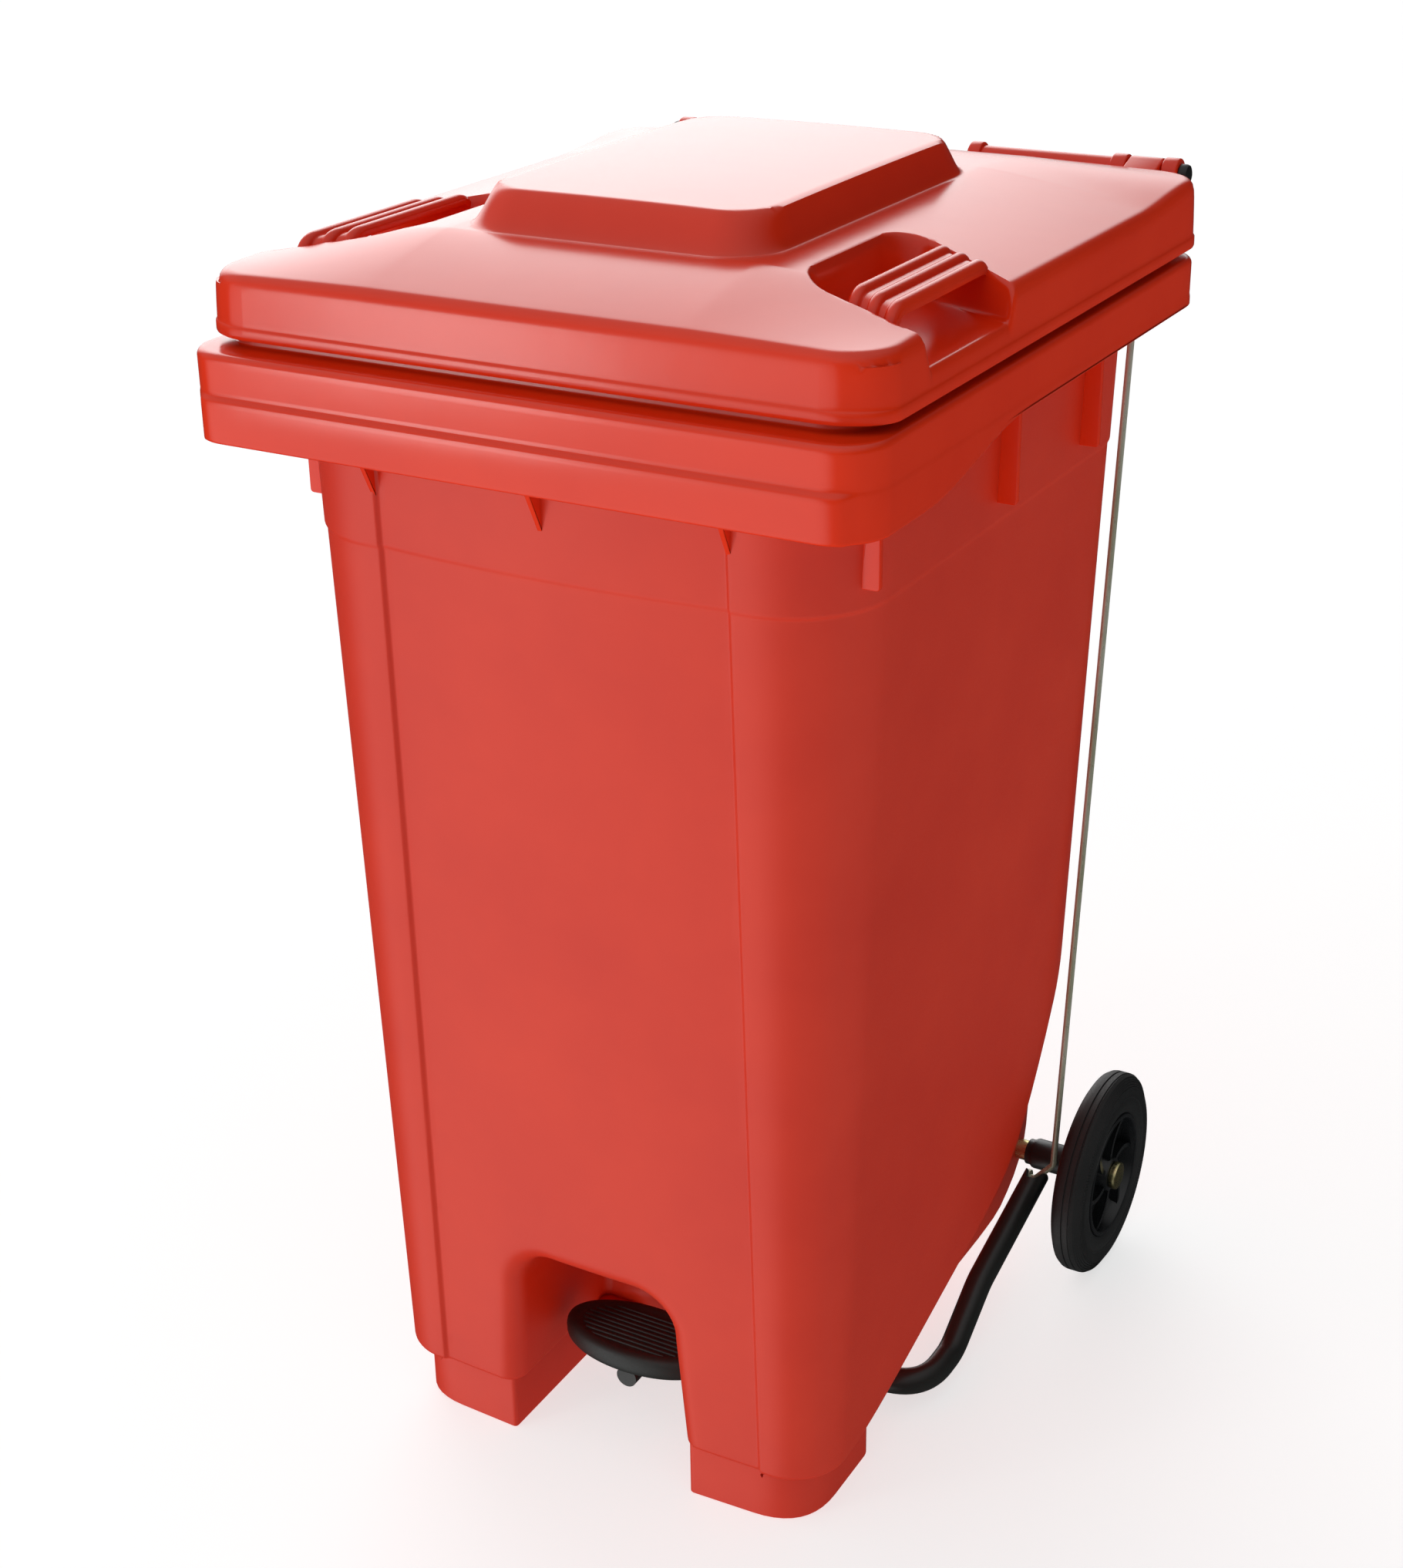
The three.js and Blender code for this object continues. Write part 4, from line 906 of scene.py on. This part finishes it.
def make_hub(side):
    """Dished hub: rim, web and boss turned as one profile, with six swept blades standing in the dish."""
    profile = [(61.7, 258.4), (61.7, 284.8), (61.2, 285.6), (59, 286), (57.6, 285.6), (57, 284.4),
               (55.6, 274.4), (54, 271.9), (50, 271), (24, 271), (19, 271.8), (17.4, 274), (16.8, 282.6),
               (16.2, 283.6), (15, 284), (10.4, 284), (10.4, 252.6), (17, 252.6), (18, 253.6), (18.6, 265),
               (21, 266.8), (50, 267), (54, 266), (55.6, 263.5), (56.4, 259), (57, 258.4)]
    grids = [(turned(profile, sides=144), RING)]
    reach = np.linspace(15.5, 57.5, 14)
    lean = 0.55 * ((reach - 15.5) / 42) ** 1.3
    for k in range(6):
        angle = k / 6 * TURN + lean
        near, far = angle - 1.7 / reach, angle + 1.7 / reach
        edge = np.concatenate([np.stack([reach * np.sin(near), reach * np.cos(near)], 1),
                               np.stack([reach * np.sin(far), reach * np.cos(far)], 1)[::-1]])
        grids.append((slab(edge + (AXLE_Y, AXLE_Z), 269.0, 281.5, 0.9, 0), CAPPED))
    grids = [(on_side(grid, side), how) for grid, how in grids]
    hub = surface(f"{hand(side)}_hub_shell", *grids, weld=0.005, sharp=35)
    return fit(hub, f"{hand(side)}_wheel", BLACK_GLOSS, "black_moulding", f"{hand(side)}_wheel_hub")


def make_turned(name, profile, body, material, slot, node, line=(AXLE_Y, AXLE_Z), sides=72):
    """A turned part on the axle's or the hinge's line, and its mirror image on the left."""
    for side in (1, -1):
        grid = on_side(turned(profile, *line, sides), side)
        piece = surface(f"{hand(side)}_{name}", (grid, RING), weld=0.005, sharp=32)
        fit(piece, body, material, slot, f"{hand(side)}_{node}")


SLEEVE = [(10.4, 196), (12.2, 196), (12.6, 196.6), (12.6, 200.5), (13.2, 201.5), (14.6, 203.6), (15, 205),
          (15, 249.6), (14.4, 250.7), (10.4, 251)]
CAP = [(10.5, 285.2), (13.2, 285.2), (13.5, 285.8), (13.5, 289.8), (13, 290.8), (11.8, 291.4), (10.6, 291.5),
       (10, 291.9), (6, 292.3), (0.01, 292.4), (0.01, 290.5), (10.5, 290.5)]
HINGE_PIN = [(0.01, 157.4), (5.2, 157.4), (6, 158.4), (6, 248.4), (9, 248.4), (9.5, 249), (9.5, 253.6),
             (8.6, 255.6), (6, 256.7), (0.01, 257)]


def make_axle_parts():
    """Sleeves, caps, hinge pins and the axle bar: profiles of (radius, x) points turned about their lines."""
    make_turned("sleeve_shell", SLEEVE, "bin", BLACK, "black_moulding", "axle_sleeve")
    make_turned("cap_shell", CAP, "bin", YELLOW, "yellow_zinc", "axle_cap")
    make_turned("pin_shell", HINGE_PIN, "hinge_pins", BLACK, "black_moulding", "hinge_pin",
                (HINGE_Y, HINGE_Z))
    profile = [(0.01, -290), (9.2, -290), (10, -289.2), (10, 289.2), (9.2, 290), (0.01, 290)]
    axle = surface("axle_bar", (turned(profile), RING), weld=0.005)
    fit(axle, "bin", YELLOW, "yellow_zinc", "axle")


# ---- pedal, lever and rod ----

PIVOT_Y, PIVOT_Z, LEVER_X, LEVER_RADIUS = -55.0, 26.0, 222.0, 12.0
BORE_DEPTH = 34
PAD_Y = -176


def make_lever():
    """Bent tube: a round section along its path; its open end stands out in two lobes with a slot between."""
    path = bent([(LEVER_X, 193, 101), (LEVER_X, 72, 65, 60), (LEVER_X, 12, PIVOT_Z, 40),
                 (LEVER_X, PIVOT_Y, PIVOT_Z, 44), (-150, PIVOT_Y, PIVOT_Z)], 14)
    tube = bar(path, LEVER_RADIUS, 48)
    centre = path[0]
    along = (path[0] - path[1]) / np.linalg.norm(path[0] - path[1])
    beside = np.abs((tube[0] - centre)[:, 0]) / LEVER_RADIUS
    reach = 15 * ease((beside - 0.25) / 0.7)
    lip = tube[0][None] + along * (reach * np.array([1, 0.66, 0.33])[:, None])[..., None]
    inner_end = centre + (tube[0] - centre) * 0.76 + along * reach[:, None]
    inner_deep = centre + (tube[0] - centre) * 0.76 - along * BORE_DEPTH
    bottom = centre - along * BORE_DEPTH + 0 * tube[0]
    edge = centre + (tube[0] - centre) * 0.9 + along * (reach[:, None] + 0.5)
    mouth = np.stack([bottom, inner_deep, inner_end, edge])
    tip = path[-1] - (0.8, 0, 0)
    end = np.stack([tip + (tube[-1] - path[-1]) * 0.9, tip + 0 * tube[-1]])
    grid = np.concatenate([mouth, lip, tube, end])
    lever = surface("lever_tube", (grid, AROUND), weld=0.005, sharp=42)
    return fit(lever, "lever", COATED, "black_coat", "pedal_lever")


def oval(half, depth, count=96):
    """An ellipse round the pad's centre, seen from above."""
    angle = np.arange(count) / count * TURN
    return np.stack([half * np.cos(angle), PAD_Y + depth * np.sin(angle)], 1)


def make_pedal_arm():
    """Arm under the pad: a round bar bent up from the cross tube, and an oval plate on top of it."""
    path = bent([(0, PIVOT_Y - 11, PIVOT_Z + 1), (0, -104, 33, 30), (0, -148, 59.5, 40), (0, -202, 59.5)])
    arm = bar(path, 10.0, 32)
    plate = slab(oval(58, 24), 69.2, 72.6, 1.0, 2)
    piece = surface("pedal_arm_shell", (arm, CAPPED), (plate, CAPPED), weld=0.005)
    return fit(piece, "lever", COATED, "black_coat", "pedal_arm")


def make_pad():
    """Oval tread: rings from the middle of its underside out round a full rim to a shallow dish on top; the
    ribs are bars with a half-round section whose length follows the oval."""
    edge = [(73.2, 20), (73.2, 8), (73.6, 5), (75, 2.4), (77.6, 0.8), (81, 0.1), (86, 0), (89.6, 0.7),
            (92, 2.2), (93.6, 4.4), (94.4, 7.2), (94.2, 10), (93.4, 12.4), (93.1, 15), (93, 24), (93, 39.5)]
    rings = [np.insert(oval(74 - inset * 0.98, 40 - inset), 2, z, axis=1) for z, inset in edge]
    bottom = np.insert(oval(0.02, 0.01), 2, 73.2, axis=1)
    grids = [(np.stack([bottom] + rings), AROUND)]
    for k in range(-4, 5):
        reach = 57 * math.sqrt(1 - (k / 5.3) ** 2)
        arc = np.linspace(0, TURN / 2, 9)
        section = np.stack([PAD_Y + k * 5.6 + 1.5 * np.cos(arc), 92.6 + 1.7 * np.sin(arc)], 1)
        grids.append((slab(section, -reach, reach, 0.8, 0), CAPPED))
    pad = surface("pedal_tread", *grids, weld=0.005, sharp=40)
    return fit(pad, "lever", TREAD, "tread_rubber", "pedal_pad")


def make_rod():
    """Wire rod: hooked through the lever, one slant bend, a long straight lean, then back under the lid."""
    path = bent([(211, 204, 103), (222, 204, 103, 3), (238.4, 207.4, 121, 9), (252, 266, 1031, 12),
                 (252, 289.5, 1031)], 8)
    wire = surface("wire_rod", (bar(path, 3.0, 20), CAPPED), weld=0.005)
    return fit(wire, "rod", ZINC, "zinc", "lift_rod")


# ---- the scene round it ----

def make_light(name, place, target, size, power):
    """A rectangular lamp, in metres and watts, turned to face its target."""
    data = bpy.data.lights.new(name, "AREA")
    data.shape, data.size, data.size_y, data.energy = "RECTANGLE", size[0], size[1], power
    lamp = bpy.data.objects.new(name, data)
    bpy.context.scene.collection.objects.link(lamp)
    lamp.location = place
    aim = (np.array(target) - np.array(place)).tolist()
    lamp.rotation_euler = Vector(aim).to_track_quat("-Z", "Y").to_euler()


def make_floor():
    """A wide level floor, a hair under the bin's feet."""
    x, y = np.meshgrid([-30000.0, 30000.0], [-30000.0, 30000.0])
    grid = np.stack([x, y, np.full((2, 2), -0.4)], -1)
    floor = surface("studio_floor", (grid, {}), closed=False)
    paint = bpy.data.materials.new("studio floor")
    paint.use_nodes = True
    shader = paint.node_tree.nodes["Principled BSDF"]
    shader.inputs["Base Color"].default_value = (0.5, 0.5, 0.5, 1)
    shader.inputs["Roughness"].default_value = 0.8
    shader.inputs["Specular IOR Level"].default_value = 0.1
    shader.inputs["Emission Color"].default_value = (1, 1, 1, 1)
    shader.inputs["Emission Strength"].default_value = 0.66
    floor.data.materials.append(paint)
    floor.visible_glossy = False


def lobe(tree, direction, toward, start, end, strength):
    """Light that grows smoothly as a direction comes near one way."""
    dot = tree.nodes.new("ShaderNodeVectorMath")
    dot.operation = "DOT_PRODUCT"
    tree.links.new(direction, dot.inputs[0])
    size = math.sqrt(sum(v * v for v in toward))
    dot.inputs[1].default_value = [v / size for v in toward]
    ramp = tree.nodes.new("ShaderNodeMapRange")
    ramp.interpolation_type = "SMOOTHSTEP"
    tree.links.new(dot.outputs["Value"], ramp.inputs["Value"])
    for socket, number in (("From Min", start), ("From Max", end), ("To Min", 0.0), ("To Max", strength)):
        ramp.inputs[socket].default_value = number
    return ramp.outputs["Result"]


# Where each soft box of light lies, the cosines at which it starts and is full, and its strength.
SOFT_BOXES = (((-0.50, -0.78, -0.38), 0.70, 0.98, 1.25), ((-0.58, 0.72, 0.38), 0.80, 0.995, 2.6))


def make_studio():
    """A soft white room: dim all round, bright overhead, low in front on the left, and behind on the left."""
    world = bpy.data.worlds.new("studio")
    world.use_nodes = True
    tree = world.node_tree
    direction = tree.nodes.new("ShaderNodeTexCoord").outputs["Generated"]
    total = lobe(tree, direction, (-0.25, -0.25, 1), 0.05, 1.0, 0.62)
    for toward, start, end, strength in SOFT_BOXES:
        total = math_node(tree, "ADD", total, lobe(tree, direction, toward, start, end, strength))
    path = tree.nodes.new("ShaderNodeLightPath")
    lit = math_node(tree, "ADD", total, math_node(tree, "MULTIPLY", path.outputs["Is Diffuse Ray"], 0.04))
    lit = math_node(tree, "ADD", lit, 0.03)
    seen = path.outputs["Is Camera Ray"]
    shown = math_node(tree, "MAXIMUM", lit, math_node(tree, "MULTIPLY", seen, 1.1))
    tree.nodes["Background"].inputs["Color"].default_value = (1, 1, 1, 1)
    tree.links.new(shown, tree.nodes["Background"].inputs["Strength"])
    bpy.context.scene.world = world
    make_light("front_box", (-1.5, -2.4, 0.9), (0, -0.3, 0.8), (0.5, 1.2), 8)
    bpy.context.scene.view_settings.view_transform = "Standard"


CAMERA_PLACE = (974.3, -1740.4, 1477.4)
CAMERA_TURN, CAMERA_DROP, CAMERA_ROLL = 29.96, 24.66, -0.93
CAMERA_LENS = 57.6


def make_camera():
    """Looks back along the given turn and drop, rolled a little about its own axis."""
    turn, drop, roll = (math.radians(a) for a in (CAMERA_TURN, CAMERA_DROP, CAMERA_ROLL))
    back = np.array([math.sin(turn) * math.cos(drop), -math.cos(turn) * math.cos(drop), math.sin(drop)])
    level = np.array([math.cos(turn), math.sin(turn), 0])
    upright = np.cross(back, level)
    right = level * math.cos(roll) + upright * math.sin(roll)
    up = upright * math.cos(roll) - level * math.sin(roll)
    data = bpy.data.cameras.new("camera")
    data.lens = CAMERA_LENS
    camera = bpy.data.objects.new("camera", data)
    bpy.context.scene.collection.objects.link(camera)
    axes = np.eye(4)
    axes[:3, :4] = np.stack([right, up, back, sit(CAMERA_PLACE)], 1)
    camera.matrix_world = Matrix(axes.tolist())
    bpy.context.scene.camera = camera


def coat_frame():
    """Gives every CAD node that still shows its material."""
    for slot_name, material in (
        ("red_moulding", RED), ("black_moulding", BLACK), ("black_coat", COATED), ("tyre_rubber", TYRE),
        ("tread_rubber", TREAD), ("zinc", ZINC), ("yellow_zinc", YELLOW),
    ):
        for row in frame["record"]["subparts"]:
            if row["material_slot"] == slot_name:
                mesh = frame["nodes"][row["node"]].data
                mesh.materials.clear()
                mesh.materials.append(material)


make_camera()
make_studio()
make_floor()
coat_frame()
make_lid()
for way in (1, -1):
    make_grip(way)
    make_knuckle(way)
    make_hinge_ears(way)
    make_tyre(way)
    make_hub(way)
make_wall()
make_collar()
make_plates()
make_feet()
make_axle_parts()
make_lever()
make_pedal_arm()
make_pad()
make_rod()
